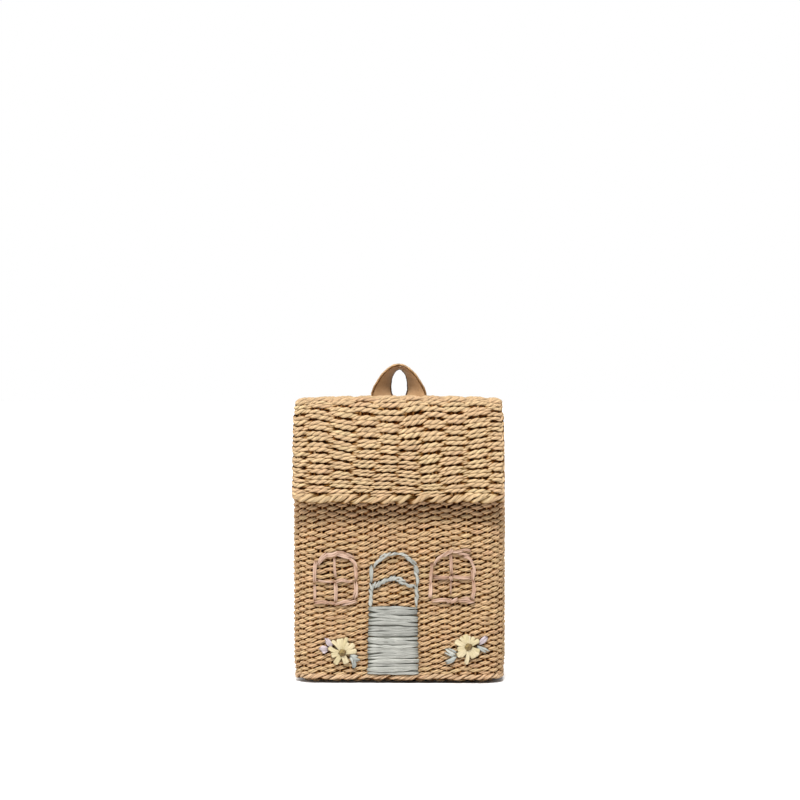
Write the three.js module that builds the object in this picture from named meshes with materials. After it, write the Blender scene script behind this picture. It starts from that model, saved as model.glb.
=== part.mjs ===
// Child's woven backpack in the form of a little house.
// Millimetres, +Z up. The front faces -Y, +X is to the right seen from the front,
// and the origin is the middle of the base on the surface that it stands on.

import * as THREE from 'three';

// Body: a hollow basket with rounded upright edges
const BODY_WIDTH = 212;
const BODY_DEPTH = 92;
const BODY_CORNER_RADIUS = 24;
const RIM_HEIGHT = 266;
const WALL_THICKNESS = 7;
const FLOOR_THICKNESS = 8.2;
const FLOOR_FILLET = 6;

// Sections of the body from the foot to the rim: how far each stands in from the full
// size, and how far the front and back walls swell at their middle
const BODY_SECTIONS = [
  { z: 0, inset: 11, swell: 0 },
  { z: 9.9, inset: 11, swell: 0 },
  { z: 10.3, inset: 1.4, swell: 0 },
  { z: 15, inset: 0.5, swell: 0.3 },
  { z: 24, inset: -0.2, swell: 0.8 },
  { z: 80, inset: -0.4, swell: 2.2 },
  { z: 150, inset: -0.5, swell: 2.6 },
  { z: 215, inset: -0.2, swell: 1.8 },
  { z: RIM_HEIGHT, inset: 0.5, swell: 0.6 },
];
const CORNER_STEPS = 6;
const LONG_WALL_STEPS = 8;
const SHORT_WALL_STEPS = 3;

// Braid round the foot, set under the edge of the body and a little clear of the ground
const BASE_BRAID_HEIGHT = 6.2;
const BASE_BRAID_THICKNESS = 9;
const BASE_BRAID_INSET = 5.6;
const BASE_BRAID_LIFT = 3.8;
const BRAID_SIDES = 10;

// Flap: a thick sheet that rises from the back rim, covers the mouth and hangs in front
const FLAP_THICKNESS = 9;
const FLAP_TOP = 283.3;
const FLAP_SHEET_END = 191.9;
const FLAP_SEAM_GAP = 0.4;
const FLAP_FRONT_RADIUS = 20;
const FLAP_FRONT_CLEARANCE = 3.2;
const FLAP_LEAN = 5;
const FLAP_CROWN = 2.2;
const FLAP_HANG_CROWN = 1.2;
const FLAP_EDGE_DROP = 1.2;
const FLAP_EDGE_REACH = 8;
const FLAP_HALF_WIDTH = { seam: 99, back: 102.5, top: 104.5, front: 104.6, hem: 105 };
const FLAP_ARC_STEPS = 7;
const FLAP_TOP_STEPS = 4;
const FLAP_HANG_STEPS = 5;
const FLAP_ACROSS_STEPS = 20;

// Braid that finishes the lower edge of the flap
const HEM_BRAID_HEIGHT = 13.1;
const HEM_BRAID_THICKNESS = 10.5;
const HEM_CORNER_RADIUS = 9;
const HEM_CORNER_STEPS = 5;
const HEM_MIDDLE_STEPS = 14;

// Cotton tape of the grab loop and of the shoulder straps
const TAPE_WIDTH = 25;
const TAPE_THICKNESS = 2.2;
const SEWN_GAP = 0.6;

// Grab loop, one leg from its sewn end up to the crown: the twist is 90 where the tape
// lies flat on the back and 0 where it stands edge-on to the front. At the crown its front
// edge is tilted up a little.
const LOOP_SHIFT = -1.7;
const LOOP_TILT = 6;
const LOOP_TILT_FADE = 4;
const LOOP_LEG = [
  { z: 237, x: 14.5, behind: 0, twist: 90 },
  { z: 253, x: 14.5, behind: 0, twist: 90 },
  { z: 265, x: 14.5, behind: 0.3, twist: 88 },
  { z: 273.2, x: 14.7, behind: 1.6, twist: 80 },
  { z: 280.2, x: 15.8, behind: 3.2, twist: 66 },
  { z: 285.8, x: 16.6, behind: 4.0, twist: 55 },
  { z: 290.4, x: 16.6, behind: 4.0, twist: 47 },
  { z: 294.4, x: 15.8, behind: 4.0, twist: 39 },
  { z: 298.4, x: 14.4, behind: 4.0, twist: 33 },
  { z: 302.6, x: 12.7, behind: 4.0, twist: 28 },
  { z: 306.5, x: 10.2, behind: 4.0, twist: 23 },
  { z: 310.3, x: 7.2, behind: 4.0, twist: 15 },
  { z: 313.1, x: 4.2, behind: 4.0, twist: 8 },
];
const LOOP_CROWN = { z: 314.3, x: 0, behind: 4.0, twist: 0 };

// Shoulder strap: the places of its middle line, with the distance that its inner face
// stands behind the back wall
const STRAP_ROUTE = [
  { z: 250, x: 46, behind: 0 },
  { z: 236, x: 46.5, behind: 0 },
  { z: 222, x: 48, behind: 4 },
  { z: 205, x: 50.5, behind: 13 },
  { z: 180, x: 54, behind: 22 },
  { z: 150, x: 59, behind: 28 },
  { z: 118, x: 64, behind: 30 },
  { z: 90, x: 68.5, behind: 27 },
  { z: 66, x: 72, behind: 18 },
  { z: 50, x: 73.5, behind: 7 },
  { z: 40, x: 74, behind: 0.8 },
  { z: 29, x: 74, behind: 0 },
  { z: 18, x: 74, behind: 0 },
];
const STRAP_STEPS = 36;

// Raffia embroidery on the front wall, laid out from a middle line a little left of centre
const EMBROIDERY_GAP = 0.5;
const EMBROIDERY_CENTRE = -4;
const ARCH_STEPS = 16;
const DOOR_PANEL = { x: -1.9, halfWidth: 25.2, foot: 10.4, head: 76.8, thickness: 2.2 };
const DOOR_PANEL_ROWS = 16;
const DOOR_LINE = { width: 4.4, thickness: 2.2 };
const DOOR_ARCH = { halfWidth: 22.6, foot: 77.4, spring: 115.2, crown: 129 };
const DOOR_FANLIGHT = { halfWidth: 18.2, end: 96, peak: 105.8 };
const WINDOW_LINE = { width: 3.8, thickness: 2 };
const WINDOW_BOW = 0.5;
const WINDOWS = [
  { side: 'left', x: -58.2, halfWidth: 20.4, foot: 79.4, bar: 101.3, spring: 117.2, crown: 131.5 },
  { side: 'right', x: 57.8, halfWidth: 21.5, foot: 81.6, bar: 105.8, spring: 117.2, crown: 132.9 },
];

// Flowers: places from the middle of the embroidery, and leaves from the flower's middle
const PETAL_COUNT = 8;
const PETAL_TIP_RADIUS = 14.8;
const PETAL_VALLEY_RADIUS = 7.5;
const PETAL_STEPS = 10;
const PETAL_LIFT = 1.8;
const PETAL_THICKNESS = 1.6;
const KNOT_HOLE_RADIUS = 4.3;
const KNOT_RADIUS = 3.7;
const KNOT_HEIGHT = 4.6;
const KNOT_STEPS = 4;
const KNOT_SIDES = 12;
const LEAF_THICKNESS = 1.1;
const LEAF_STEPS = 8;
const FLOWERS = [
  {
    side: 'left', x: -52, z: 31.2, firstPetal: 12,
    leaves: [
      { rootX: -10.7, rootZ: 6.0, tipX: -17.5, tipZ: 15.5, width: 5.0, tint: 'lilac' },
      { rootX: -13.0, rootZ: 1.0, tipX: -25.8, tipZ: 5.6, width: 5.6, tint: 'lilac' },
      { rootX: 8.5, rootZ: -1.8, tipX: 19.3, tipZ: -6.0, width: 4.8, tint: 'blueGrey' },
      { rootX: 6.0, rootZ: -7.6, tipX: 12.4, tipZ: -16, width: 4.6, tint: 'blueGrey' },
    ],
  },
  {
    side: 'right', x: 73.3, z: 37.4, firstPetal: 4,
    leaves: [
      { rootX: 9.5, rootZ: 4.2, tipX: 19.6, tipZ: 10.4, width: 4.8, tint: 'lilac' },
      { rootX: 8.8, rootZ: -1.4, tipX: 19.6, tipZ: -4.8, width: 4.6, tint: 'blueGrey' },
      { rootX: -11.8, rootZ: -6.0, tipX: -23.6, tipZ: -1.6, width: 5.4, tint: 'blueGrey' },
      { rootX: -11.8, rootZ: -10.8, tipX: -22.6, tipZ: -16.6, width: 4.8, tint: 'blueGrey' },
    ],
  },
];

// Colours and finishes
const FINISHES = {
  bodyCord: { color: 0xbb9366, roughness: 0.82 },
  flapCord: { color: 0xc9a272, roughness: 0.8 },
  braidCord: { color: 0xc49c6e, roughness: 0.8 },
  tape: { color: 0xb08a5e, roughness: 0.9 },
  doorRaffia: { color: 0xb0aea5, roughness: 0.6 },
  pinkRaffia: { color: 0xd3a48f, roughness: 0.6 },
  petalRaffia: { color: 0xf0e4b6, roughness: 0.6 },
  knotRaffia: { color: 0x735a32, roughness: 0.7 },
  lilac: { color: 0xbcaab0, roughness: 0.6 },
  blueGrey: { color: 0xa9aeb0, roughness: 0.6 },
};

const part = new THREE.Group();

function addPiece(name, geometry, finish) {
  const material = new THREE.MeshStandardMaterial({ ...FINISHES[finish], metalness: 0 });
  const mesh = new THREE.Mesh(geometry, material);
  mesh.name = name;
  part.add(mesh);
}

const { degToRad, lerp } = THREE.MathUtils;

// Triangles between rings of points, each ring joined to the next one and, where the
// rings run round in a circle, the last one to the first
function ringTriangles(ringCount, ringSize, circle) {
  const index = [];
  const joins = circle ? ringCount : ringCount - 1;
  for (let ring = 0; ring < joins; ring += 1) {
    const here = ring * ringSize;
    const there = ((ring + 1) % ringCount) * ringSize;
    for (let j = 0; j < ringSize; j += 1) {
      const next = (j + 1) % ringSize;
      index.push(here + j, here + next, there + next);
      index.push(here + j, there + next, there + j);
    }
  }
  return index;
}

function geometryFrom(points, index) {
  const positions = points.flatMap((point) => [point.x, point.y, point.z]);
  const geometry = new THREE.BufferGeometry();
  geometry.setAttribute('position', new THREE.Float32BufferAttribute(positions, 3));
  geometry.setIndex(index);
  return geometry;
}

// Solid through a row of convex rings, with flat ends
function loft(rings) {
  const size = rings[0].length;
  const last = (rings.length - 1) * size;
  const index = ringTriangles(rings.length, size, false);
  for (let j = 1; j < size - 1; j += 1) {
    index.push(0, j + 1, j);
    index.push(last, last + j, last + j + 1);
  }
  return geometryFrom(rings.flat(), index);
}

// Solid ring through sections that run round in a circle
function closedLoft(rings) {
  return geometryFrom(rings.flat(), ringTriangles(rings.length, rings[0].length, true));
}

// Solid sheet: each station has a row of points on its inner face and one on its outer face
function slab(stations) {
  const across = stations[0].inner.length;
  const size = 2 * across;
  const rings = stations.map(({ inner, outer }) => [...inner, ...[...outer].reverse()]);
  const last = (rings.length - 1) * size;
  const index = ringTriangles(rings.length, size, false);
  for (let j = 0; j < across - 1; j += 1) {
    const facing = size - 1 - j;
    index.push(j, facing, facing - 1);
    index.push(j, facing - 1, j + 1);
    index.push(last + j, last + facing - 1, last + facing);
    index.push(last + j, last + j + 1, last + facing - 1);
  }
  return geometryFrom(rings.flat(), index);
}

// Inset and swell of the body at a height, between the rows of its section table
function bodySection(z) {
  const above = BODY_SECTIONS.findIndex((section) => section.z >= z);
  const row = above === -1 ? BODY_SECTIONS.length - 1 : Math.max(above, 1);
  const low = BODY_SECTIONS[row - 1];
  const high = BODY_SECTIONS[row];
  const t = THREE.MathUtils.clamp((z - low.z) / (high.z - low.z), 0, 1);
  return { inset: lerp(low.inset, high.inset, t), swell: lerp(low.swell, high.swell, t) };
}

// Outline of the body from above, counter-clockwise: a rounded rectangle whose long
// walls swell outwards
function bodyOutline(inset, swell) {
  const halfWidth = BODY_WIDTH / 2 - inset;
  const radius = BODY_CORNER_RADIUS - Math.min(inset, BODY_CORNER_RADIUS / 2);
  const straightX = halfWidth - radius;
  const straightY = BODY_DEPTH / 2 - inset - radius;
  const corners = [
    { x: straightX, y: -straightY, start: -90, wallSteps: SHORT_WALL_STEPS },
    { x: straightX, y: straightY, start: 0, wallSteps: LONG_WALL_STEPS },
    { x: -straightX, y: straightY, start: 90, wallSteps: SHORT_WALL_STEPS },
    { x: -straightX, y: -straightY, start: 180, wallSteps: LONG_WALL_STEPS },
  ];
  const onCorner = (corner, turned) => {
    const angle = degToRad(corner.start + turned);
    return new THREE.Vector2(corner.x + radius * Math.cos(angle), corner.y + radius * Math.sin(angle));
  };
  const outline = [];
  corners.forEach((corner, which) => {
    for (let step = 0; step <= CORNER_STEPS; step += 1) {
      outline.push(onCorner(corner, (90 * step) / CORNER_STEPS));
    }
    const from = onCorner(corner, 90);
    const to = onCorner(corners[(which + 1) % corners.length], 0);
    for (let step = 1; step < corner.wallSteps; step += 1) {
      outline.push(from.clone().lerp(to, step / corner.wallSteps));
    }
  });
  outline.forEach((point) => {
    point.y += Math.sign(point.y) * swell * (1 - (point.x / halfWidth) ** 2);
  });
  return outline;
}

function outlineAt(outline, z) {
  return outline.map((point) => new THREE.Vector3(point.x, point.y, z));
}

function bodyRing(z, extraInset) {
  const { inset, swell } = bodySection(z);
  return outlineAt(bodyOutline(inset + extraInset, swell), z);
}

// Distance from the middle plane to the outside of the front or back wall
function wallDistance(x, z) {
  const { inset, swell } = bodySection(z);
  const halfWidth = BODY_WIDTH / 2 - inset;
  const radius = BODY_CORNER_RADIUS - inset;
  const past = Math.max(Math.abs(x) - (halfWidth - radius), 0);
  const cornerDrop = radius - Math.sqrt(radius * radius - past * past);
  return BODY_DEPTH / 2 - inset + swell * (1 - (x / halfWidth) ** 2) - cornerDrop;
}

function makeBody() {
  const outside = BODY_SECTIONS.map((section) => bodyRing(section.z, 0));
  const floorEdge = FLOOR_THICKNESS + FLOOR_FILLET;
  const inside = BODY_SECTIONS
    .filter((section) => section.z > floorEdge + FLOOR_FILLET)
    .reverse()
    .map((section) => bodyRing(section.z, WALL_THICKNESS));
  inside.push(outlineAt(bodyOutline(WALL_THICKNESS + BODY_SECTIONS[2].inset, 0), floorEdge));
  inside.push(outlineAt(bodyOutline(WALL_THICKNESS + BODY_SECTIONS[0].inset, 0), FLOOR_THICKNESS));
  addPiece('woven_body', loft([...outside, ...inside]), 'bodyCord');
}

// Rope of elliptical section that follows the outline of the foot
function makeBaseBraid() {
  const path = bodyOutline(BASE_BRAID_INSET, 0);
  const middle = BASE_BRAID_LIFT + BASE_BRAID_HEIGHT / 2;
  const rings = path.map((point, j) => {
    const before = path[(j + path.length - 1) % path.length];
    const after = path[(j + 1) % path.length];
    const along = after.clone().sub(before).normalize();
    const ring = [];
    for (let side = 0; side < BRAID_SIDES; side += 1) {
      const angle = (-2 * Math.PI * side) / BRAID_SIDES;
      const reach = (BASE_BRAID_THICKNESS / 2) * Math.cos(angle);
      const height = middle + (BASE_BRAID_HEIGHT / 2) * Math.sin(angle);
      ring.push(new THREE.Vector3(point.x + along.y * reach, point.y - along.x * reach, height));
    }
    return ring;
  });
  addPiece('base_braid', closedLoft(rings), 'braidCord');
}

// Side view of the flap's middle surface from the back seam over the top to the hem. Each
// station has its place, the angle that it faces, its half width and its crown.
function flapStations() {
  const half = FLAP_THICKNESS / 2;
  const seam = RIM_HEIGHT + FLAP_SEAM_GAP;
  const backRadius = FLAP_TOP - seam;
  const backY = BODY_DEPTH / 2 - backRadius;
  const frontReach = BODY_DEPTH / 2 + FLAP_FRONT_CLEARANCE;
  const frontY = -frontReach + FLAP_FRONT_RADIUS - FLAP_THICKNESS;
  const frontZ = FLAP_TOP - FLAP_FRONT_RADIUS;
  const breadth = FLAP_HALF_WIDTH;
  const stations = [];
  const turnRound = (y, z, radius, angle, halfWidth, crown) => stations.push({
    y: y + radius * Math.cos(angle), z: z + radius * Math.sin(angle), angle, halfWidth, crown,
  });
  for (let step = 0; step <= FLAP_ARC_STEPS; step += 1) {
    const t = step / FLAP_ARC_STEPS;
    const angle = degToRad(90 * t);
    const crown = FLAP_CROWN * Math.sin(angle) ** 2;
    turnRound(backY, seam, backRadius - half, angle, lerp(breadth.seam, breadth.back, t), crown);
  }
  for (let step = 1; step < FLAP_TOP_STEPS; step += 1) {
    const t = step / FLAP_TOP_STEPS;
    const halfWidth = t < 0.5 ? lerp(breadth.back, breadth.top, 2 * t) : breadth.top;
    stations.push({
      y: lerp(backY, frontY, t), z: FLAP_TOP - half, angle: Math.PI / 2, halfWidth, crown: FLAP_CROWN,
    });
  }
  const hangAngle = degToRad(180 - FLAP_LEAN);
  for (let step = 0; step <= FLAP_ARC_STEPS; step += 1) {
    const t = step / FLAP_ARC_STEPS;
    const angle = lerp(Math.PI / 2, hangAngle, t);
    const crown = lerp(FLAP_CROWN, FLAP_HANG_CROWN, t);
    turnRound(frontY, frontZ, FLAP_FRONT_RADIUS - half, angle, lerp(breadth.top, breadth.front, t), crown);
  }
  const hang = stations[stations.length - 1];
  for (let step = 1; step <= FLAP_HANG_STEPS; step += 1) {
    const t = step / FLAP_HANG_STEPS;
    const z = lerp(hang.z, FLAP_SHEET_END, t);
    stations.push({
      y: hang.y - (hang.z - z) * Math.tan(degToRad(FLAP_LEAN)),
      z,
      angle: hangAngle,
      halfWidth: lerp(breadth.front, breadth.hem, t),
      crown: FLAP_HANG_CROWN,
    });
  }
  return stations;
}

// How far a place across the flap stands out of its plain side view: crowned along the
// middle and rolled down at both side edges
function flapRise(across, station) {
  const crowned = station.crown * (1 - across * across);
  const fromEdge = station.halfWidth * (1 - Math.abs(across));
  const rolled = Math.max(1 - fromEdge / FLAP_EDGE_REACH, 0);
  return crowned - FLAP_EDGE_DROP * rolled * rolled;
}

// Places across the flap, from -1 to 1, closer together near the rolled edges
function flapAcross() {
  const places = [];
  for (let step = 0; step <= FLAP_ACROSS_STEPS; step += 1) {
    places.push(Math.sin(lerp(-Math.PI / 2, Math.PI / 2, step / FLAP_ACROSS_STEPS)));
  }
  return places;
}

function flapPoint(station, across, offset) {
  const out = flapRise(across, station) + offset;
  return new THREE.Vector3(
    across * station.halfWidth,
    station.y + Math.cos(station.angle) * out,
    station.z + Math.sin(station.angle) * out,
  );
}

function makeFlap() {
  const rows = flapStations().map((station) => ({
    inner: flapAcross().map((across) => flapPoint(station, across, -FLAP_THICKNESS / 2)),
    outer: flapAcross().map((across) => flapPoint(station, across, FLAP_THICKNESS / 2)),
  }));
  addPiece('flap', slab(rows), 'flapCord');
}

// Rope of elliptical section along the hem, with its lower corners rounded off
function makeHemBraid() {
  const stations = flapStations();
  const hem = stations[stations.length - 1];
  const top = FLAP_SHEET_END - FLAP_SEAM_GAP - FLAP_CROWN / 10;
  const cornerStart = hem.halfWidth - HEM_CORNER_RADIUS;
  const places = [];
  for (let step = 0; step <= HEM_CORNER_STEPS; step += 1) {
    const angle = degToRad((90 * step) / HEM_CORNER_STEPS);
    places.push(-cornerStart - HEM_CORNER_RADIUS * Math.cos(angle));
  }
  for (let step = 1; step < HEM_MIDDLE_STEPS; step += 1) {
    places.push(lerp(-cornerStart, cornerStart, step / HEM_MIDDLE_STEPS));
  }
  for (let step = 0; step <= HEM_CORNER_STEPS; step += 1) {
    const angle = degToRad(90 - (90 * step) / HEM_CORNER_STEPS);
    places.push(cornerStart + HEM_CORNER_RADIUS * Math.cos(angle));
  }
  const rings = places.map((x) => {
    const past = Math.max(Math.abs(x) - cornerStart, 0);
    const cut = HEM_CORNER_RADIUS - Math.sqrt(Math.max(HEM_CORNER_RADIUS ** 2 - past ** 2, 0));
    const halfHeight = (HEM_BRAID_HEIGHT - cut) / 2;
    const halfThickness = (HEM_BRAID_THICKNESS / 2) * (1 - cut / (4 * HEM_CORNER_RADIUS));
    const middleY = flapPoint(hem, x / hem.halfWidth, 0).y;
    const ring = [];
    for (let side = 0; side < BRAID_SIDES; side += 1) {
      const angle = (2 * Math.PI * side) / BRAID_SIDES;
      ring.push(new THREE.Vector3(
        x,
        middleY + halfThickness * Math.cos(angle),
        top - halfHeight + halfHeight * Math.sin(angle),
      ));
    }
    return ring;
  });
  addPiece('flap_braid', loft(rings), 'braidCord');
}

// Flat tape along a row of places, each with the direction that its width points in
function tape(places) {
  const half = TAPE_WIDTH / 2;
  const stations = places.map(({ at, breadth }, j) => {
    const before = places[Math.max(j - 1, 0)].at;
    const after = places[Math.min(j + 1, places.length - 1)].at;
    const along = after.clone().sub(before).normalize();
    const side = breadth.clone().addScaledVector(along, -breadth.dot(along)).normalize();
    const out = along.clone().cross(side);
    const corner = (across, thick) => at.clone()
      .addScaledVector(side, across * half)
      .addScaledVector(out, (thick * TAPE_THICKNESS) / 2);
    return { inner: [corner(-1, -1), corner(1, -1)], outer: [corner(-1, 1), corner(1, 1)] };
  });
  return slab(stations);
}

function behindBack(x, z, behind) {
  return wallDistance(x, z) + SEWN_GAP + behind + TAPE_THICKNESS / 2;
}

function makeLoop() {
  const places = [];
  const place = (x, y, z, twist) => {
    const side = Math.sign(x) * Math.sin(degToRad(twist));
    const front = Math.cos(degToRad(twist));
    const lift = Math.sin(degToRad(LOOP_TILT)) * front ** LOOP_TILT_FADE;
    const breadth = new THREE.Vector3(side, -front, lift);
    places.push({ at: new THREE.Vector3(x + LOOP_SHIFT, y, z), breadth });
  };
  const legPlace = (row, side) => place(side * row.x, behindBack(row.x, row.z, row.behind), row.z, row.twist);
  LOOP_LEG.forEach((row) => legPlace(row, -1));
  legPlace(LOOP_CROWN, 1);
  [...LOOP_LEG].reverse().forEach((row) => legPlace(row, 1));
  addPiece('handle_loop', tape(places), 'tape');
}

function makeStrap(name, side) {
  const route = new THREE.CatmullRomCurve3(STRAP_ROUTE.map(
    ({ x, z, behind }) => new THREE.Vector3(side * x, behindBack(x, z, behind), z),
  ));
  const places = route.getPoints(STRAP_STEPS).map((at, j, all) => {
    const along = all[Math.min(j + 1, STRAP_STEPS)].clone().sub(all[Math.max(j - 1, 0)]);
    return { at, breadth: new THREE.Vector3(0, 1, 0).cross(along) };
  });
  addPiece(name, tape(places), 'tape');
}

// Flat shape in front view, given thickness and laid on the front wall
function layOnFront(shape, thickness, lift) {
  const geometry = new THREE.ExtrudeGeometry(shape, { depth: thickness, bevelEnabled: false });
  geometry.rotateX(Math.PI / 2);
  const position = geometry.getAttribute('position');
  for (let j = 0; j < position.count; j += 1) {
    const wall = wallDistance(position.getX(j), position.getZ(j));
    position.setY(j, position.getY(j) - wall - EMBROIDERY_GAP - lift);
  }
  return geometry;
}

// Half ellipse from left to right, seen from the front
function archPoints(x, spring, halfWidth, rise) {
  const points = [];
  for (let step = 0; step <= ARCH_STEPS; step += 1) {
    const angle = Math.PI * (1 - step / ARCH_STEPS);
    points.push(new THREE.Vector2(x + halfWidth * Math.cos(angle), spring + rise * Math.sin(angle)));
  }
  return points;
}

// Line of even width along a row of points
function stroke(points, width) {
  const edge = (side) => points.map((point, j) => {
    const before = points[Math.max(j - 1, 0)];
    const after = points[Math.min(j + 1, points.length - 1)];
    const along = after.clone().sub(before).normalize();
    return new THREE.Vector2(point.x - along.y * side * width / 2, point.y + along.x * side * width / 2);
  });
  return new THREE.Shape([...edge(-1), ...edge(1).reverse()]);
}

// Satin-stitched panel: a sheet that follows the swell of the wall up from the foot
function makeDoorPanel() {
  const { x: middle, halfWidth, foot, head, thickness } = DOOR_PANEL;
  const stations = [];
  for (let row = 0; row <= DOOR_PANEL_ROWS; row += 1) {
    const z = lerp(foot, head, row / DOOR_PANEL_ROWS);
    const face = (depth) => [1, 0, -1].map((across) => {
      const x = EMBROIDERY_CENTRE + middle + across * halfWidth;
      return new THREE.Vector3(x, -wallDistance(x, z) - EMBROIDERY_GAP - depth, z);
    });
    stations.push({ inner: face(0), outer: face(thickness) });
  }
  addPiece('door_panel', slab(stations), 'doorRaffia');
}

function makeDoorLines() {
  const centre = EMBROIDERY_CENTRE;
  const rise = DOOR_ARCH.crown - DOOR_ARCH.spring;
  const arch = [
    new THREE.Vector2(centre - DOOR_ARCH.halfWidth, DOOR_ARCH.foot),
    ...archPoints(centre, DOOR_ARCH.spring, DOOR_ARCH.halfWidth, rise),
    new THREE.Vector2(centre + DOOR_ARCH.halfWidth, DOOR_ARCH.foot),
  ];
  const archLine = layOnFront(stroke(arch, DOOR_LINE.width), DOOR_LINE.thickness, 0);
  addPiece('door_arch', archLine, 'doorRaffia');

  const fan = [];
  for (let step = 0; step <= ARCH_STEPS; step += 1) {
    const across = lerp(-1, 1, step / ARCH_STEPS);
    const height = Math.cos((across * Math.PI) / 2);
    fan.push(new THREE.Vector2(
      centre + across * DOOR_FANLIGHT.halfWidth,
      lerp(DOOR_FANLIGHT.end, DOOR_FANLIGHT.peak, height),
    ));
  }
  const fanLine = layOnFront(stroke(fan, DOOR_LINE.width), DOOR_LINE.thickness, 0);
  addPiece('door_fanlight', fanLine, 'doorRaffia');
}

// Arched frame with a cross: a solid arch with four panes cut out of it. Its stitched bars
// bow a little down and out.
function makeWindow({ side, x, halfWidth, foot, bar, spring, crown }) {
  const centre = EMBROIDERY_CENTRE + x;
  const half = WINDOW_LINE.width / 2;
  const bowed = (across, z) => {
    const low = (crown - z) / (crown - foot);
    const wide = across / halfWidth;
    return new THREE.Vector2(
      centre + across + wide * WINDOW_BOW * low * low,
      z + WINDOW_BOW * wide * wide,
    );
  };
  const outer = archPoints(centre, spring, halfWidth + half, crown - spring + half);
  const frame = new THREE.Shape([
    bowed(-halfWidth - half, foot - half),
    bowed(halfWidth + half, foot - half),
    ...outer.reverse(),
  ]);
  const inner = archPoints(centre, spring, halfWidth - half, crown - spring - half);
  [-1, 1].forEach((hand) => {
    const barSide = hand * half;
    const frameSide = hand * (halfWidth - half);
    frame.holes.push(new THREE.Path([
      bowed(barSide, foot + half),
      bowed(frameSide, foot + half),
      bowed(frameSide, bar - half),
      bowed(barSide, bar - half),
    ]));
    const overhead = inner.filter((point) => hand * (point.x - centre) > 2 * half);
    const fromFrame = hand > 0 ? overhead.reverse() : overhead;
    frame.holes.push(new THREE.Path([
      bowed(barSide, bar + half),
      bowed(frameSide, bar + half),
      ...fromFrame,
      bowed(barSide, crown - half),
    ]));
  });
  addPiece(`window_${side}`, layOnFront(frame, WINDOW_LINE.thickness, 0), 'pinkRaffia');
}

function makeLeaf(name, flowerX, flowerZ, leaf) {
  const root = new THREE.Vector2(flowerX + leaf.rootX, flowerZ + leaf.rootZ);
  const tip = new THREE.Vector2(flowerX + leaf.tipX, flowerZ + leaf.tipZ);
  const along = tip.clone().sub(root);
  const sideways = new THREE.Vector2(-along.y, along.x).normalize();
  const edge = (side) => {
    const points = [];
    for (let step = 0; step < LEAF_STEPS; step += 1) {
      const t = step / LEAF_STEPS;
      const swell = side * (leaf.width / 2) * Math.sin(Math.PI * t);
      points.push(root.clone().addScaledVector(along, t).addScaledVector(sideways, swell));
    }
    return points;
  };
  const [, ...back] = edge(1);
  const shape = new THREE.Shape([...edge(-1), tip, ...back.reverse()]);
  addPiece(name, layOnFront(shape, LEAF_THICKNESS, 0), leaf.tint);
}

function makeFlower({ side, x, z, firstPetal, leaves }) {
  const centreX = EMBROIDERY_CENTRE + x;
  const stepCount = PETAL_COUNT * PETAL_STEPS;
  const outline = [];
  for (let step = 0; step < stepCount; step += 1) {
    const angle = (2 * Math.PI * step) / stepCount;
    const petal = Math.abs(Math.cos((PETAL_COUNT * angle) / 2));
    const radius = lerp(PETAL_VALLEY_RADIUS, PETAL_TIP_RADIUS, Math.sqrt(petal));
    const turned = angle + degToRad(firstPetal);
    outline.push(new THREE.Vector2(centreX + radius * Math.cos(turned), z + radius * Math.sin(turned)));
  }
  const petals = new THREE.Shape(outline);
  petals.holes.push(new THREE.Path().absarc(centreX, z, KNOT_HOLE_RADIUS, 0, 2 * Math.PI, true));
  addPiece(`flower_${side}`, layOnFront(petals, PETAL_THICKNESS, PETAL_LIFT), 'petalRaffia');

  const dome = [new THREE.Vector2(0, 0)];
  for (let step = 0; step <= KNOT_STEPS; step += 1) {
    const angle = degToRad((90 * step) / KNOT_STEPS);
    dome.push(new THREE.Vector2(KNOT_RADIUS * Math.cos(angle), KNOT_HEIGHT * Math.sin(angle)));
  }
  dome[dome.length - 1].x = 0;
  const knot = new THREE.LatheGeometry(dome, KNOT_SIDES);
  knot.rotateX(Math.PI);
  knot.translate(centreX, -wallDistance(centreX, z) - EMBROIDERY_GAP, z);
  addPiece(`flower_knot_${side}`, knot, 'knotRaffia');

  leaves.forEach((leaf, j) => makeLeaf(`leaf_${side}_${j + 1}`, centreX, z, leaf));
}

makeBody();
makeBaseBraid();
makeFlap();
makeHemBraid();
makeLoop();
makeStrap('shoulder_strap_left', -1);
makeStrap('shoulder_strap_right', 1);
makeDoorPanel();
makeDoorLines();
WINDOWS.forEach(makeWindow);
FLOWERS.forEach(makeFlower);

export default part;
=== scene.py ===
# Child's woven backpack in the form of a little house: cords, braids, tape and raffia stitches
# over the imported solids. Sizes are in millimetres until a mesh is made; the front faces -Y.
import math

import bmesh
import bpy
import numpy as np
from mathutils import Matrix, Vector


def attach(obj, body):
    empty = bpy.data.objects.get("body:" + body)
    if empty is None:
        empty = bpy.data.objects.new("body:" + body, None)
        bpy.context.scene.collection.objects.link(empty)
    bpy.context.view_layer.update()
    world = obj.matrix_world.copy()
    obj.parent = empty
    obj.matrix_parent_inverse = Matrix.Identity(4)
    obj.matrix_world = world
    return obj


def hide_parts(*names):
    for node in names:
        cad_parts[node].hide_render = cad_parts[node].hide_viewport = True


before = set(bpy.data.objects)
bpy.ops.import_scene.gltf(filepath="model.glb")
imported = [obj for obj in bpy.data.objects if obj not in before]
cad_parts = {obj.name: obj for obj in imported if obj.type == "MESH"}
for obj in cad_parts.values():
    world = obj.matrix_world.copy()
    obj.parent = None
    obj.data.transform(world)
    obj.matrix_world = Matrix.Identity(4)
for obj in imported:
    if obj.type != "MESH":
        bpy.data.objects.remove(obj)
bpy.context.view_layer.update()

MM = 0.001

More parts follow.
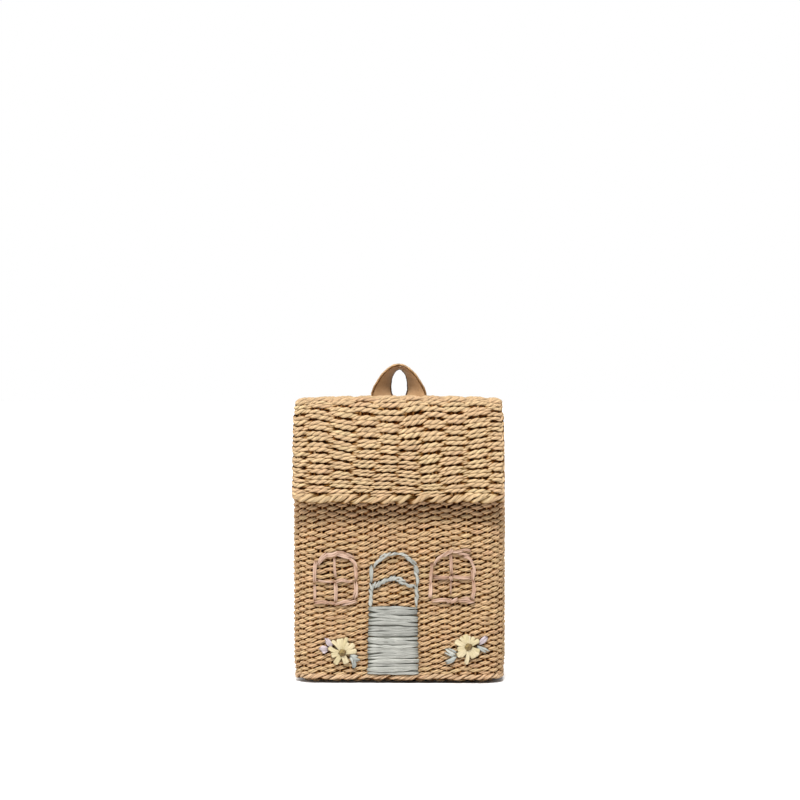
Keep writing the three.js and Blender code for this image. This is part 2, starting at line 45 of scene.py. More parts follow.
# Camera: almost level with the top of the flap, where it aims; the picture is this wide there
PICTURE_WIDTH = 806.2
CAMERA_DISTANCE = 2500.0
CAMERA_ELEVATION = 1.0
CAMERA_AZIMUTH = 1.5
CAMERA_AIM = (0.2, 0.0, 280.7)

# Light: a white room that glows softly, one broad lamp high above the camera, and a very wide
# weak one on the left. For each lamp: strength, spread, azimuth and elevation in degrees
ROOM_GLOW = 0.52
LAMPS = {"high_lamp": (4.3, 14.0, 1.0, 50.0), "side_lamp": (1.6, 80.0, -65.0, 40.0)}
FLOOR_SIZE = 30.0

# Body outline, repeated from the part's source
BODY_WIDTH = 212.0
BODY_DEPTH = 92.0
BODY_CORNER_RADIUS = 24.0
BODY_CORNER_STEP = 5
BODY_SECTIONS = np.array([
    # height, inset, swell of the long walls
    (0, 11, 0),
    (9.9, 11, 0),
    (10.3, 1.4, 0),
    (15, 0.5, 0.3),
    (24, -0.2, 0.8),
    (80, -0.4, 2.2),
    (150, -0.5, 2.6),
    (215, -0.2, 1.8),
    (266, 0.5, 0.6),
])

# Weave of the body: one weft cord winds up round an odd number of stakes, so that every
# row passes in front of the stakes that the row below passes behind
STAKE_COUNT = 55
STAKE_RADIUS = 1.9
STAKE_DEPTH = 4.4
STAKE_SIDES = 6
STAKE_RING_SPACING = 9.0
STAKE_FOOT = 2.0
# The stakes get this much less painted shade than their depth would give, in mm
STAKE_LIGHT = 0.4
WALL_FOOT = 10.4
FIRST_ROW = 8.8
LAST_ROW = 262.6
FIRST_PITCH = 2.52
PITCH_GROWTH = 0.0092
WEFT_HALF_THICKNESS = 2.3
WEFT_FULLNESS = 0.84
WEFT_SWING = 1.8
WEFT_SQUEEZE = 0.14
WEFT_TILT = 0.25
WEFT_LAY = 24.0
WEFT_RINGS = 7
WEFT_BANDS = 4
# Unevenness of the weft, as the rings between changes and the amount of a change
WEFT_RISE = (10.5, 0.3)
WEFT_SLANT = (42, 0.4)
WEFT_REACH = (7, 0.1)
WEFT_UNEVEN = (10.5, 0.08)
WEFT_TWIST = (35, 0.5)
WEFT_TINT = (7, 0.14)
WEFT_LONG_TINT = (63, 0.14)
# Slow waves of hand weaving: height, number round the body, mm up it for each radian, start
ROW_WAVES = ((1.1, 3, 47, 0.6), (0.8, 5, -29, 2.1), (0.5, 11, 17, 4.0))
ROW_WAVE_FADE = 18.0
STAKE_WAVES = ((1.0, 4, 37, 0), (0.8, 9, -23, 1.3))
# Painted shade on the front under the flap, fading out below its hem: how far it reaches below
# the hem, and how much deeper in painted shade and lower in tint, so warmer, the cord is there
UNDER_FLAP_SHADE_REACH = 22.0
UNDER_FLAP_SHADE_DEPTH = 0.15
UNDER_FLAP_SHADE_TINT = 0.5

# Woven floor of the body
FLOOR_PLANE = 4.4
FLOOR_INSET = 12.0
FLOOR_ROW_PITCH = 3.4
FLOOR_WEFT_RADIUS = 2.3
FLOOR_WEFT_SWING = 1.7
FLOOR_ROW_MARGINS = (2.0, 1.0)
FLOOR_WEFT_RINGS = 6
FLOOR_STAKE_RINGS = 8
FLOOR_TINTS = (0.2, 0.8)

# Rim of the body: two cords twisted round each other
RIM_PLANE = 263.4
RIM_CORD_RADIUS = 2.2
RIM_CORD_OFFSET = 1.9
RIM_TURNS = 35
RIM_TINT = 0.6

# Braids: strands twisted into a rope whose turns rise to the right
BRAID_RING_SPACING = 1.5
BASE_BRAID_STRANDS = 4
BASE_BRAID_HEIGHT = 6.2
BASE_BRAID_THICKNESS = 9.0
BASE_BRAID_INSET = 5.6
BASE_BRAID_MIDDLE = 6.9
BASE_BRAID_TURNS = 24
# Waves round the foot: height, number, start; in the twist the start is for each strand
BASE_TWIST_WAVES = ((0.45, 5, 2), (0.3, 11, 3))
BASE_RISE_WAVES = ((0.4, 23, 0), (0.4, 9, 1))
BASE_STRAND_SWELL = 1.14
BASE_SWELL_WAVE = (0.1, 17)
BASE_TINT_WAVE = (0.3, 7)
HEM_BRAID_STRANDS = 3
HEM_BRAID_HEIGHT = 9.4
HEM_BRAID_THICKNESS = 9.6
HEM_BRAID_TOP = 189.2
HEM_CORNER_RADIUS = 9.0
HEM_LAY = 27.0
HEM_END_MARGIN = 1.0
HEM_END_TAPER = 4.0
HEM_STRAND_SWELL = 1.15
HEM_TWIST = (10, 0.5)
HEM_RISE = (8, 0.8)
HEM_UNEVEN = (9, 0.14)
HEM_TINT = (20, 0.25)
BASE_STRAND_SHARE = 0.44
HEM_STRAND_SHARE = 0.5
STRAND_PLY_LAY = 32.0

# Flap: the part's own outline with rounder side edges; its weave runs on a little into the hem
FLAP_THICKNESS = 9.0
FLAP_TOP = 283.3
FLAP_SEAM = 266.4
FLAP_WEAVE_END = 187.4
FLAP_FRONT_RADIUS = 20.0
FLAP_FRONT_CLEARANCE = 3.2
FLAP_LEAN = 5.0
FLAP_CROWN = 2.2
FLAP_HANG_CROWN = 1.2
FLAP_EDGE_DROP = 2.2
FLAP_EDGE_REACH = 14.0
FLAP_SEAM_HALF = 99.0
FLAP_BACK_HALF = 102.5
FLAP_TOP_HALF = 104.5
FLAP_FRONT_HALF = 104.6
FLAP_HEM_HALF = 105.0
FLAP_ARC_STATIONS = 13
FLAP_SPAN_STATIONS = 9
FLAP_MOST_ACROSS = 1.1

# Weave of the flap: pairs of cords that turn back round the outer stakes
FLAP_COLUMNS = 9
FLAP_ROW_PITCH = 5.1
FLAP_PAIR_OFFSET = 2.1
FLAP_PINCH = 0.3
FLAP_CORD_RADIUS = 2.6
FLAP_SWING = 1.8
FLAP_LAY = 16.0
# Cords count as less deep at the crossings and round the crest, so they get less painted shade
# there; round the crest this paints the top of the flap lighter, as light from above would. The
# rows behind the crest are drawn in at both ends
FLAP_CROSSING_LIGHT = 0.6
FLAP_CREST_LIGHT = 1.5
FLAP_CREST_REACH = 16.0
FLAP_CREST_PULL = 1.7
# Sag of the rows in the middle of the hanging part, and the band along the side edges where the
# pairs of cords open and bend down, by these amounts on the left and on the right
FLAP_SAG = 9.5
FLAP_SAG_REACH = 50.0
FLAP_EDGE_BAND = 12.0
FLAP_EDGE_OPENING = 0.17
FLAP_EDGE_BEND = (0.8, 2.4)
FLAP_EDGE_INSET = 3.4
FLAP_SEAM_MARGIN = 0.5
FLAP_RING_SPACING = 1.4
FLAP_TURN_STEPS = 6
FLAP_STAKE_RADIUS = 1.4
FLAP_STAKE_SPACING = 3.6
FLAP_STAKE_DEPTH = 0.3
FLAP_STAKE_START = 1.0
FLAP_STAKE_RING_SPACING = 4.0
# Cords stay longer in front of and behind the stakes than a plain wave would
FLAP_SWING_FLATNESS = 0.08
# Waves of the rows: height, mm across and mm along for each radian, start; and of the crossings:
# height, radians in half the width, mm along for each radian, start
FLAP_WAVES = ((1.2, 17, 31, 0), (0.8, 9, -19, 1.0))
FLAP_WAVE_FADE = 15.0
FLAP_STRAY_WAVES = ((0.5, 2.3, 23, 0), (0.25, 7, -11, 0))
# Unevenness of the cords, as the rings between changes and the amount of a change
FLAP_RISE = (10, 0.25)
FLAP_REACH = (12, 0.05)
FLAP_UNEVEN = (24, 0.06)
FLAP_TWIST = (30, 0.9)
FLAP_TINT = (12, 0.16)
FLAP_LONG_TINT = (60, 0.14)
FLAP_STAKE_SHADE = (6, 0.8)

# Cotton tape of the grab loop and the shoulder straps
TAPE_WIDTH = 25.0
TAPE_THICKNESS = 2.2
SEWN_GAP = 0.6
TAPE_RING_SPACING = 2.5
SELVEDGE_RADIUS = 1.5
SELVEDGE_LAY = 16.0
SELVEDGE_INSET = 0.8
SELVEDGE_RING_SPACING = 0.8
SELVEDGE_SIDES = 6
SELVEDGE_LOBE = 0.08
# Tints of the two edges: on the loop the inner one is darker with painted shade and the outer one
# lighter with painted light
LOOP_EDGE_TINTS = (0.1, 0.9)
STRAP_EDGE_TINTS = (0.6, 0.6)
# Painted light on the tape itself, from least to most from the left leg of the loop to the right one
LOOP_PAINTED_LIGHT = (0.3, 1.0)
STRAP_PAINTED_LIGHT = (0.5, 0.5)
LOOP_SHIFT = -2.2
LOOP_TILT = 10.0
LOOP_TILT_FADE = 4
LOOP_LEG = np.array([
    # height, x, distance behind the wall, twist in degrees
    (237, 14.5, 0, 90),
    (253, 14.5, 0, 90),
    (265, 14.5, 0.3, 88),
    (273.2, 15.4, 1.6, 80),
    (280.2, 17.0, 3.2, 66),
    (285.8, 17.8, 4.0, 55),
    (290.4, 17.3, 4.0, 46),
    (294.4, 16.2, 4.0, 38),
    (298.4, 14.9, 4.0, 31),
    (302.6, 13.3, 4.0, 25),
    (306.5, 11.1, 4.0, 18),
    (310.3, 7.8, 4.0, 12),
    (313.1, 4.4, 4.0, 7),
])
LOOP_CROWN = (314.3, 0, 4.0, 0)
STRAP_STEPS = 8
STRAP_ROUTE = np.array([
    # height, x, distance behind the wall
    (250, 46, 0),
    (236, 46.5, 0),
    (222, 48, 4),
    (205, 50.5, 13),
    (180, 54, 22),
    (150, 59, 28),
    (118, 64, 30),
    (90, 68.5, 27),
    (66, 72, 18),
    (50, 73.5, 7),
    (40, 74, 0.8),
    (29, 74, 0),
    (18, 74, 0),
])

# Embroidery on the front wall
EMBROIDERY_GAP = 0.5
EMBROIDERY_CENTRE = -4.0
DOOR_CENTRE = -5.5
DOOR_FOOT = 9.6
DOOR_HEAD = 76.9
DOOR_FOOT_HALF = 25.4
DOOR_HEAD_HALF = 24.2
# Satin stitches: a flat strip under each row, and over it a strip laid by hand. Widths are
# shares of the pitch, and thicknesses here and below go from a strip's middle to its face
DOOR_STRIPS = 25
DOOR_LINE_POINTS = 24
DOOR_BLUNTNESS = 0.2
DOOR_BED_SHARE = 0.97
DOOR_BED_WIDTH = 1.4
DOOR_BED_THICKNESS = 0.7
DOOR_BED_LIFT = 0.1
# Extra depth of the flat strips under the rows, so they show darker, as painted shade, between the
# strips laid over them
DOOR_BED_DEPTH = 0.8
DOOR_STRIP_RINGS = 25
DOOR_STRIP_SHIFT = 0.5
DOOR_STRIP_RISE = 0.35
DOOR_STRIP_SLANT = 0.6
DOOR_STRIP_BEND = (7, 0.55)
DOOR_STRIP_WIDTHS = (1.05, 1.6)
DOOR_STRIP_LIFT = 1.0
DOOR_STRIP_LIFT_SPREAD = 0.8
# Every stitch: its tips dive into the weave, thinner and darker with painted shade; then its
# unevenness, as the rings between changes and the amount of a change
STITCH_RINGS = 11
STITCH_TIP = 0.02
STITCH_TIP_THICKNESS = 0.4
STITCH_TIP_SHADE = 1.2
STITCH_RISE = (3, 0.12)
STITCH_UNEVEN = (3, 0.16)
STITCH_TWIST = (3, 0.3)
STRIP_THICKNESS = 0.8
STRIP_LIFT = 0.9
STRIP_LIFT_SPREAD = (-0.2, 0.5)
STRIP_BLUNTNESS = 0.35
# A window's stitches are split in two; the width of each half is a share of the whole
SPLIT_SHIFT = 0.27
SPLIT_SPREAD = 0.15
SPLIT_SHARE = 0.62
DOOR_LINE_FULLNESS = 1.1
LEAF_FULLNESS = 1.3
LINE_SPACING = 2.0
LINE_LEAST_STEPS = 4
# Stitches laid by hand: width, then x and height at the start, the middle and the end
DOOR_ARCH = [
    (3.1, -26.7, 118.9, -26.5, 109.2, -27.1, 100.3),
    (2.0, -28.2, 116.8, -27.6, 109.7, -27.4, 103.4),
    (2.1, -28.6, 100.7, -27.1, 96.8, -26.3, 92.5),
    (2.0, -25.3, 100.3, -25.3, 96.0, -26.7, 90.9),
    (2.3, -29.4, 94.4, -27.3, 90.9, -26.5, 86.2),
    (2.3, -25.7, 91.7, -27.5, 87.0, -27.9, 82.3),
    (2.1, -28.8, 88.2, -26.7, 84.2, -26.1, 80.3),
    (2.5, -28.6, 84.6, -27.9, 80.3, -27.5, 76.4),
    (2.1, -24.1, 115.2, -23.3, 119.1, -20.8, 123.1),
    (2.3, -22.4, 118.0, -20.4, 121.9, -16.9, 125.4),
    (2.3, -19.6, 121.1, -16.5, 124.2, -12.2, 126.6),
    (2.3, -18.8, 125.0, -15.3, 128.2, -12.2, 129.7),
    (2.5, -14.5, 125.8, -11.4, 128.2, -7.5, 130.9),
    (2.3, -10.6, 127.4, -6.7, 128.6, -2.8, 130.9),
    (2.3, -6.7, 128.2, -3.2, 129.4, -0.1, 130.4),
    (2.3, -2.4, 129.0, 1.5, 129.4, 5.8, 129.8),
    (2.3, 2.7, 128.2, 6.6, 128.2, 10.1, 126.7),
    (2.3, 5.8, 125.9, 9.7, 125.5, 12.8, 123.9),
    (2.3, 7.4, 124.7, 11.7, 122.7, 14.4, 118.8),
    (2.3, 11.7, 124.7, 15.2, 122.0, 18.3, 118.8),
    (2.3, 14.0, 120.4, 16.7, 117.7, 18.3, 113.7),
    (2.3, 15.2, 117.3, 17.1, 113.4, 19.5, 108.3),
    (2.1, 18.3, 117.7, 19.1, 113.0, 19.5, 109.8),
    (2.1, 15.4, 113.0, 17.5, 108.7, 20.3, 105.1),
    (2.3, 17.1, 109.0, 18.5, 104.0, 18.5, 98.9),
    (2.0, 19.9, 106.3, 19.5, 102.0, 17.9, 98.1),
    (2.1, 15.6, 99.2, 17.5, 94.9, 20.3, 91.2),
    (2.1, 18.7, 99.6, 18.3, 94.9, 17.9, 90.6),
    (2.3, 16.4, 95.7, 17.9, 90.2, 19.1, 85.5),
    (2.3, 19.5, 90.6, 18.7, 85.5, 17.5, 81.2),
    (2.3, 16.7, 87.9, 17.5, 82.0, 17.9, 76.5),
]
DOOR_FANLIGHT = [
    (2.7, -25.3, 96.8, -23.9, 99.1, -22.4, 101.5),
    (2.3, -23.5, 95.2, -21.2, 98.8, -18.8, 102.7),
    (2.3, -20.8, 95.6, -18.5, 99.6, -16.1, 103.5),
    (2.3, -18.5, 98.8, -15.7, 101.9, -12.6, 105.1),
    (2.3, -16.5, 99.2, -13.0, 102.7, -10.6, 105.1),
    (2.5, -13.0, 101.1, -9.5, 103.9, -5.9, 107.4),
    (2.5, -9.8, 102.3, -6.3, 104.7, -3.2, 107.8),
    (2.3, -7.1, 102.7, -4.0, 104.3, -0.8, 106.3),
    (2.3, -2.8, 105.5, 0.7, 105.9, 3.8, 104.7),
    (2.3, -3.2, 103.1, 0.7, 102.7, 4.2, 102.0),
    (2.3, 0.3, 104.3, 3.8, 103.5, 7.4, 102.4),
    (2.1, -0.1, 101.2, 3.5, 100.4, 7.0, 99.2),
    (2.1, 5.4, 101.2, 8.9, 98.8, 12.1, 97.7),
    (2.0, 7.0, 98.8, 10.9, 96.9, 15.2, 96.9),
    (1.8, 9.7, 98.5, 12.8, 98.5, 16.0, 98.1),
]
WINDOWS = {
    "left": [
        (3.2, -82.0, 122.6, -82.9, 112.9, -83.1, 100.2),
        (2.5, -83.1, 99.4, -82.7, 89.7, -83.2, 82.8),
        (3.0, -80.1, 116.8, -76.7, 124.4, -71.2, 130.2),
        (2.2, -78.7, 119.6, -73.8, 125.7, -68.9, 129.0),
        (3.6, -72.6, 128.4, -66.1, 128.3, -59.2, 131.0),
        (2.4, -65.3, 127.4, -58.8, 130.7, -52.7, 129.9),
        (3.2, -62.1, 129.0, -54.3, 127.1, -46.7, 124.8),
        (2.2, -53.6, 130.3, -47.7, 128.1, -43.0, 125.0),
        (3.2, -49.1, 125.0, -43.9, 121.0, -41.2, 114.1),
        (3.0, -43.6, 120.2, -42.2, 111.3, -42.4, 102.0),
        (3.4, -42.8, 102.0, -42.0, 93.5, -44.5, 84.2),
        (2.2, -41.0, 97.1, -41.2, 91.5, -41.8, 85.8),
        (2.4, -63.5, 125.6, -63.4, 116.1, -62.2, 104.9),
        (3.4, -62.3, 100.7, -62.0, 89.8, -62.4, 81.3),
        (2.0, -80.9, 103.0, -71.6, 101.4, -63.7, 101.7),
        (3.0, -63.7, 100.3, -57.2, 103.0, -50.7, 102.4),
        (2.2, -56.0, 103.1, -49.7, 101.8, -44.3, 102.8),
        (3.2, -83.8, 80.7, -76.7, 81.9, -69.0, 80.6),
        (2.2, -75.5, 82.8, -68.5, 81.1, -62.5, 80.0),
        (2.8, -64.1, 78.4, -55.0, 81.3, -46.3, 82.9),
        (2.4, -56.8, 78.8, -48.5, 80.7, -41.0, 82.8),
    ],
    "right": [
        (2.8, 32.9, 120.3, 33.0, 111.5, 32.1, 102.1),
        (2.4, 31.9, 113.1, 31.7, 105.0, 32.3, 98.5),
        (3.4, 31.7, 101.3, 31.5, 92.7, 30.9, 85.2),
        (2.2, 34.5, 117.5, 37.6, 123.3, 43.4, 128.8),
        (2.4, 36.9, 121.5, 43.5, 128.0, 50.2, 132.7),
        (2.4, 43.4, 126.8, 48.4, 129.4, 52.2, 132.1),
        (2.8, 49.8, 129.6, 51.8, 132.1, 53.2, 134.3),
        (2.4, 52.2, 131.7, 59.3, 131.7, 64.7, 133.5),
        (2.2, 61.9, 132.9, 67.6, 133.5, 72.0, 132.1),
        (2.2, 57.9, 130.0, 64.5, 129.2, 70.8, 127.6),
        (2.6, 64.3, 126.8, 69.9, 125.3, 73.6, 119.5),
        (2.6, 71.4, 122.4, 74.7, 115.9, 75.2, 108.2),
        (2.6, 72.4, 114.7, 73.6, 107.6, 72.8, 102.6),
        (3.4, 74.0, 103.8, 74.7, 94.8, 73.6, 86.4),
        (2.8, 75.2, 93.7, 73.6, 88.8, 73.2, 83.6),
        (2.8, 51.8, 129.2, 52.1, 119.8, 52.9, 108.6),
        (2.4, 50.6, 107.4, 51.8, 105.4, 52.4, 102.6),
        (1.5, 51.9, 102.6, 51.6, 96.9, 51.9, 89.2),
        (2.4, 33.9, 107.4, 43.0, 106.5, 51.4, 106.4),
        (1.4, 34.5, 105.2, 43.1, 104.7, 49.8, 105.0),
        (3.0, 52.6, 106.8, 62.1, 106.2, 72.8, 105.4),
        (3.6, 32.5, 82.7, 41.2, 83.8, 50.6, 83.8),
        (2.4, 47.4, 81.1, 50.2, 82.7, 53.0, 84.4),
        (3.2, 51.0, 81.1, 55.1, 83.2, 58.7, 85.2),
        (3.2, 58.7, 82.7, 65.0, 83.4, 72.0, 81.9),
        (2.4, 62.3, 84.8, 66.0, 85.8, 70.8, 85.2),
        (2.2, 67.2, 81.3, 72.0, 81.7, 75.6, 82.3),
    ],
}
FLOWERS = {"left": (-51.7, 31.0), "right": (73.2, 37.1)}
PETALS = {
    # direction in degrees, reach from the middle, width
    "left": [
        (121, 15.9, 3.8),
        (110, 14.5, 4.1),
        (91, 14.4, 5.5),
        (75, 16.1, 3.8),
        (58, 11.8, 3.5),
        (33, 14.7, 5.1),
        (8, 14.4, 4.8),
        (292, 11.5, 5.9),
        (236, 13.3, 5.1),
        (192, 11.2, 5.1),
        (168, 14.5, 4.4),
    ],
    "right": [
        (103, 13.0, 5.5),
        (91, 11.4, 3.9),
        (126, 12.8, 3.6),
        (61, 11.5, 3.9),
        (38, 12.6, 4.6),
        (159, 14.4, 5.5),
        (194, 11.1, 5.1),
        (221, 14.1, 5.1),
        (236, 11.9, 4.6),
        (268, 17.1, 4.0),
        (300, 12.1, 6.4),
        (320, 12.7, 5.1),
        (335, 11.9, 4.6),
    ],
}
# Leaves: colour, then stitches laid from the flower's middle
LEAVES = {
    "left": [
        ("lilac", [
            (1.9, -9.8, 4.9, -13.6, 10.2, -17.4, 14.7),
            (1.6, -9.8, 7.1, -12.3, 11.2, -15.2, 14.4),
            (1.4, -11.1, 4.6, -14.9, 9.0, -16.8, 11.8),
        ]),
        ("lilac", [
            (2.2, -14.5, 4.9, -19.0, 5.9, -22.5, 4.8),
            (2.5, -14.2, 3.0, -18.7, 3.2, -23.4, 4.5),
            (1.9, -14.6, 2.0, -17.4, 0.4, -20.6, 1.3),
        ]),
        ("blue_grey", [
            (1.9, 7.3, -2.3, 11.4, -2.5, 15.5, -3.9),
            (2.2, 7.6, -3.3, 12.3, -5.2, 17.7, -7.4),
            (1.7, 8.8, -5.5, 12.3, -7.1, 15.5, -8.7),
        ]),
        ("blue_grey", [
            (1.4, 7.3, -1.1, 7.9, 0.5, 9.5, 1.5),
            (1.9, 7.6, -4.3, 9.8, -7.7, 10.4, -11.0),
            (2.0, 11.1, -6.8, 12.8, -10.6, 11.3, -15.5),
            (1.4, 10.4, -9.3, 10.7, -12.6, 10.4, -15.1),
        ]),
    ],
    "right": [
        ("lilac", [
            (2.0, 9.4, 3.5, 13.4, 7.3, 17.2, 11.2),
            (2.0, 10.4, 2.3, 15.1, 5.2, 19.1, 9.3),
            (1.4, 10.7, 4.9, 14.8, 7.3, 18.5, 10.7),
        ]),
        ("blue_grey", [
            (1.7, 8.3, 1.1, 13.8, -0.9, 19.2, -3.0),
            (1.9, 8.7, -0.3, 13.5, -3.0, 17.5, -5.4),
            (1.5, 12.4, -0.6, 16.9, -2.3, 20.9, -4.3),
        ]),
        ("blue_grey", [
            (1.9, -11.7, -5.8, -16.5, -2.7, -20.6, -1.5),
            (2.0, -12.4, -8.2, -17.9, -5.4, -23.0, -1.7),
            (1.9, -14.1, -9.2, -19.2, -7.5, -23.7, -5.4),
        ]),
        ("blue_grey", [
            (2.0, -11.1, -9.5, -16.9, -12.3, -23.3, -14.7),
            (1.9, -12.8, -11.6, -16.9, -14.4, -22.0, -16.6),
        ]),
    ],
}
# Shape of a petal, and of the coiled cord of a knot
PETAL_RINGS = 13
PETAL_ROOT = 1.5
PETAL_BEND = 5.0
PETAL_LIFT = 2.2
PETAL_DROOP = 0.9
PETAL_THICKNESS = 0.8
PETAL_FULLNESS = 1.12
PETAL_ROOT_SHARE = 0.68
PETAL_TIP = 0.08
PETAL_TIP_SHARE = 0.3
# Painted shade on a petal, darker towards its root by the flower's middle; each petal is also darker
# by a random amount
PETAL_ROOT_SHADE = 0.7
PETAL_SHADE_SPREAD = 0.4
KNOT_RADIUS = 4.6
KNOT_CORD_RADIUS = 1.5
KNOT_LOBE = 0.2
KNOT_TURNS = 2.6
KNOT_RINGS = 40
KNOT_MIDDLE = 0.4
KNOT_LIFT = (3.1, 4.3)
KNOT_TWIST = 2.5
KNOT_TINT = (4, 0.5)

TWO_PI = 2 * math.pi
FRONT = np.array([0.0, -1.0, 0.0])
# Plies of a cord: many fine ones in the body, two thick ones in the flap and the braids; a lobe
# is how far they bulge
FINE_PLIES = 4
THICK_PLIES = 2
FINE_LOBE = 0.13
THICK_LOBE = 0.17
CORD_SIDES = 8
# A tint of 0 gives a strand its warm colour, and 1 its pale one
MIDDLE_TINT = 0.5
SEED = 20
chance = np.random.default_rng(SEED)


# Strands: tubes of a given section along a path, joined into one mesh for each piece

def unit(vectors):
    """Vectors of length 1 in the same directions."""
    return vectors / np.linalg.norm(vectors, axis=-1, keepdims=True)


def wander(count, spacing, amount):
    """Smooth seeded drift along a row of places, with a new random value every few places."""
    knots = chance.normal(0, amount, int(count / spacing) + 3)
    at = np.arange(count) / spacing
    low = at.astype(int)
    ease = at - low
    ease = ease * ease * (3 - 2 * ease)
    return knots[low] * (1 - ease) + knots[low + 1] * ease


def lengths(path):
    """Distance along a path at each of its points."""
    steps = np.linalg.norm(np.diff(path, axis=0), axis=1)
    return np.concatenate([[0], np.cumsum(steps)])


def resample(path, breadth, spacing):
    """A path and the directions along it, at even steps of about the spacing."""
    along = lengths(path)
    at = np.linspace(0, along[-1], max(int(along[-1] / spacing), 2) + 1)
    return [
        np.stack([np.interp(at, along, column) for column in values.T], axis=1)
        for values in (path, breadth)
    ]


def round_section(sides, lobe=0.0, plies=2):
    """Section of a cord; a lobe gives it the bulges of the plies that lie side by side."""
    angle = np.arange(sides) * TWO_PI / sides
    radius = 1 - lobe + lobe * np.cos(plies * angle)
    return np.stack([radius * np.cos(angle), radius * np.sin(angle)], axis=1)


CORD = round_section(CORD_SIDES, FINE_LOBE, FINE_PLIES)
ROPE = round_section(CORD_SIDES, THICK_LOBE, THICK_PLIES)
KNOT_CORD = round_section(CORD_SIDES, KNOT_LOBE)
SELVEDGE = round_section(SELVEDGE_SIDES, SELVEDGE_LOBE)
ROUND = round_section(STAKE_SIDES)
# Flat raffia strip folded along its middle, thickness first and width second
RAFFIA = np.array([
    (0.62, 0), (1, 0.36), (0.75, 0.74), (0, 1), (-0.8, 0.6),
    (-0.9, 0), (-0.8, -0.6), (0, -1), (0.75, -0.74), (1, -0.36),
])
# Flat tape with softly rounded edges
FLAT_TAPE = np.array([
    (1, 0), (1, 0.45), (1, 0.9), (0.55, 1), (-0.55, 1), (-1, 0.9), (-1, 0.45),
    (-1, 0), (-1, -0.45), (-1, -0.9), (-0.55, -1), (0.55, -1), (1, -0.9), (1, -0.45),
])


def strand(
    path, outward, section, size, turn=0.0, closed=False, depth=None, tint=MIDDLE_TINT, girth=None,
):
    """One closed tube: the section at every point of the path, facing outward, sized and turned.

    The size is half the thickness and half the width. Depth is how far the middle of the strand
    lies below the face of the weave, in mm; it is its own half thickness unless given. The depth
    of each point is kept as sunk, by which the material paints shade. Tint picks its shade of
    colour, and girth is the texture place of each point round the section."""
    path = np.asarray(path, float)
    count, sides = len(path), len(section)
    if closed:
        ahead = np.roll(path, -1, axis=0) - np.roll(path, 1, axis=0)
    else:
        ahead = np.gradient(path, axis=0)
    ahead = unit(ahead)
    side = unit(np.cross(ahead, np.broadcast_to(outward, path.shape)))
    out = np.cross(side, ahead)
    size = np.asarray(size, float)
    size = np.broadcast_to(size[:, None] if size.ndim == 1 else size, (count, 2))
    turn = np.broadcast_to(turn, count)[:, None]
    thick = section[:, 0] * np.cos(turn) - section[:, 1] * np.sin(turn)
    wide = section[:, 0] * np.sin(turn) + section[:, 1] * np.cos(turn)
    points = path[:, None] + (thick * size[:, :1])[..., None] * out[:, None]
    points = points + (wide * size[:, 1:])[..., None] * side[:, None]
    middle = size[:, 0] if depth is None else np.broadcast_to(depth, count)
    sunk = middle[:, None] - thick * size[:, :1]

    ring = np.arange(count if closed else count - 1)[:, None]
    spot = np.arange(sides)[None]
    following = (ring + 1) % count
    beside = (spot + 1) % sides
    corners = [ring * sides + spot, ring * sides + beside]
    corners += [following * sides + beside, following * sides + spot]
    quads = np.stack(corners, axis=-1).reshape(-1, 4)

    along = lengths(path)
    along = np.append(along, along[-1] + np.linalg.norm(path[0] - path[-1]))
    girth = np.arange(sides + 1) / sides if girth is None else np.asarray(girth)
    shape = (len(ring), sides)
    here, there = along[ring], along[ring + 1]
    near, far = girth[spot], girth[spot + 1]
    uv = [(here, near), (here, far), (there, far), (there, near)]
    uv = np.stack([np.stack(np.broadcast_arrays(*pair, np.empty(shape))[:2], -1) for pair in uv], 2)
    uv = uv.reshape(-1, 4, 2)
    if not closed:
        step = np.arange(sides // 2 - 1)
        cap = np.stack([step, step + 1, sides - 2 - step, sides - 1 - step], axis=1)
        quads = np.concatenate([quads, cap[:, ::-1], cap + (count - 1) * sides])
        uv = np.concatenate([uv, np.zeros((2 * len(cap), 4, 2))])
    return {
        "points": points.reshape(-1, 3),
        "quads": quads,
        "uv": uv,
        "sunk": sunk.ravel(),
        "tint": np.repeat(np.broadcast_to(tint, count), sides),
    }


def make_piece(name, strands, material, slot, *nodes):
    """Joins strands into one mesh object that rides on the bag and stands for its CAD nodes."""
    starts = np.cumsum([0] + [len(part["points"]) for part in strands])
    quads = np.concatenate([part["quads"] + start for part, start in zip(strands, starts)])
    joined = {}
    for key in ("points", "uv", "sunk", "tint"):
        joined[key] = np.concatenate([part[key] for part in strands])
    mesh = bpy.data.meshes.new(name)
    mesh.from_pydata((joined["points"] * MM).tolist(), [], quads.tolist())
    mesh.shade_smooth()
    mesh.uv_layers.new(name="strand").data.foreach_set("uv", joined["uv"].ravel())
    for key in ("sunk", "tint"):
        mesh.attributes.new(key, "FLOAT", "POINT").data.foreach_set("value", joined[key])
    mesh.materials.append(material)
    piece = bpy.data.objects.new(name, mesh)
    bpy.context.scene.collection.objects.link(piece)
    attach(piece, "root")
    if nodes:
        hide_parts(*nodes)


# Materials

def colour(code):
    """Linear colour from an sRGB hex value."""
    values = [int(code[k:k + 2], 16) / 255 for k in (1, 3, 5)]
    linear = [v / 12.92 if v <= 0.04045 else ((v + 0.055) / 1.055) ** 2.4 for v in values]
    return (*linear, 1.0)


def put(tree, kind, settings, inputs):
    """Adds a node with its settings; each input is a value or another node's output."""
    node = tree.nodes.new("ShaderNode" + kind)
    for name, value in settings.items():
        setattr(node, name, value)
    for key, value in inputs.items():
        if isinstance(value, bpy.types.NodeSocket):
            tree.links.new(value, node.inputs[key])
        else:
            node.inputs[key].default_value = value
    return node


def new_material(name):
    """A material with its node tree and its main shader."""
    material = bpy.data.materials.new(name)
    material.use_nodes = True
    return material, material.node_tree, material.node_tree.nodes["Principled BSDF"]


FIBRE_RELIEF = 0.45
RELIEF_STRENGTH = 0.8
FIBRE_RANGE = (0.3, 0.7)
CREASE_SHARE = 0.4


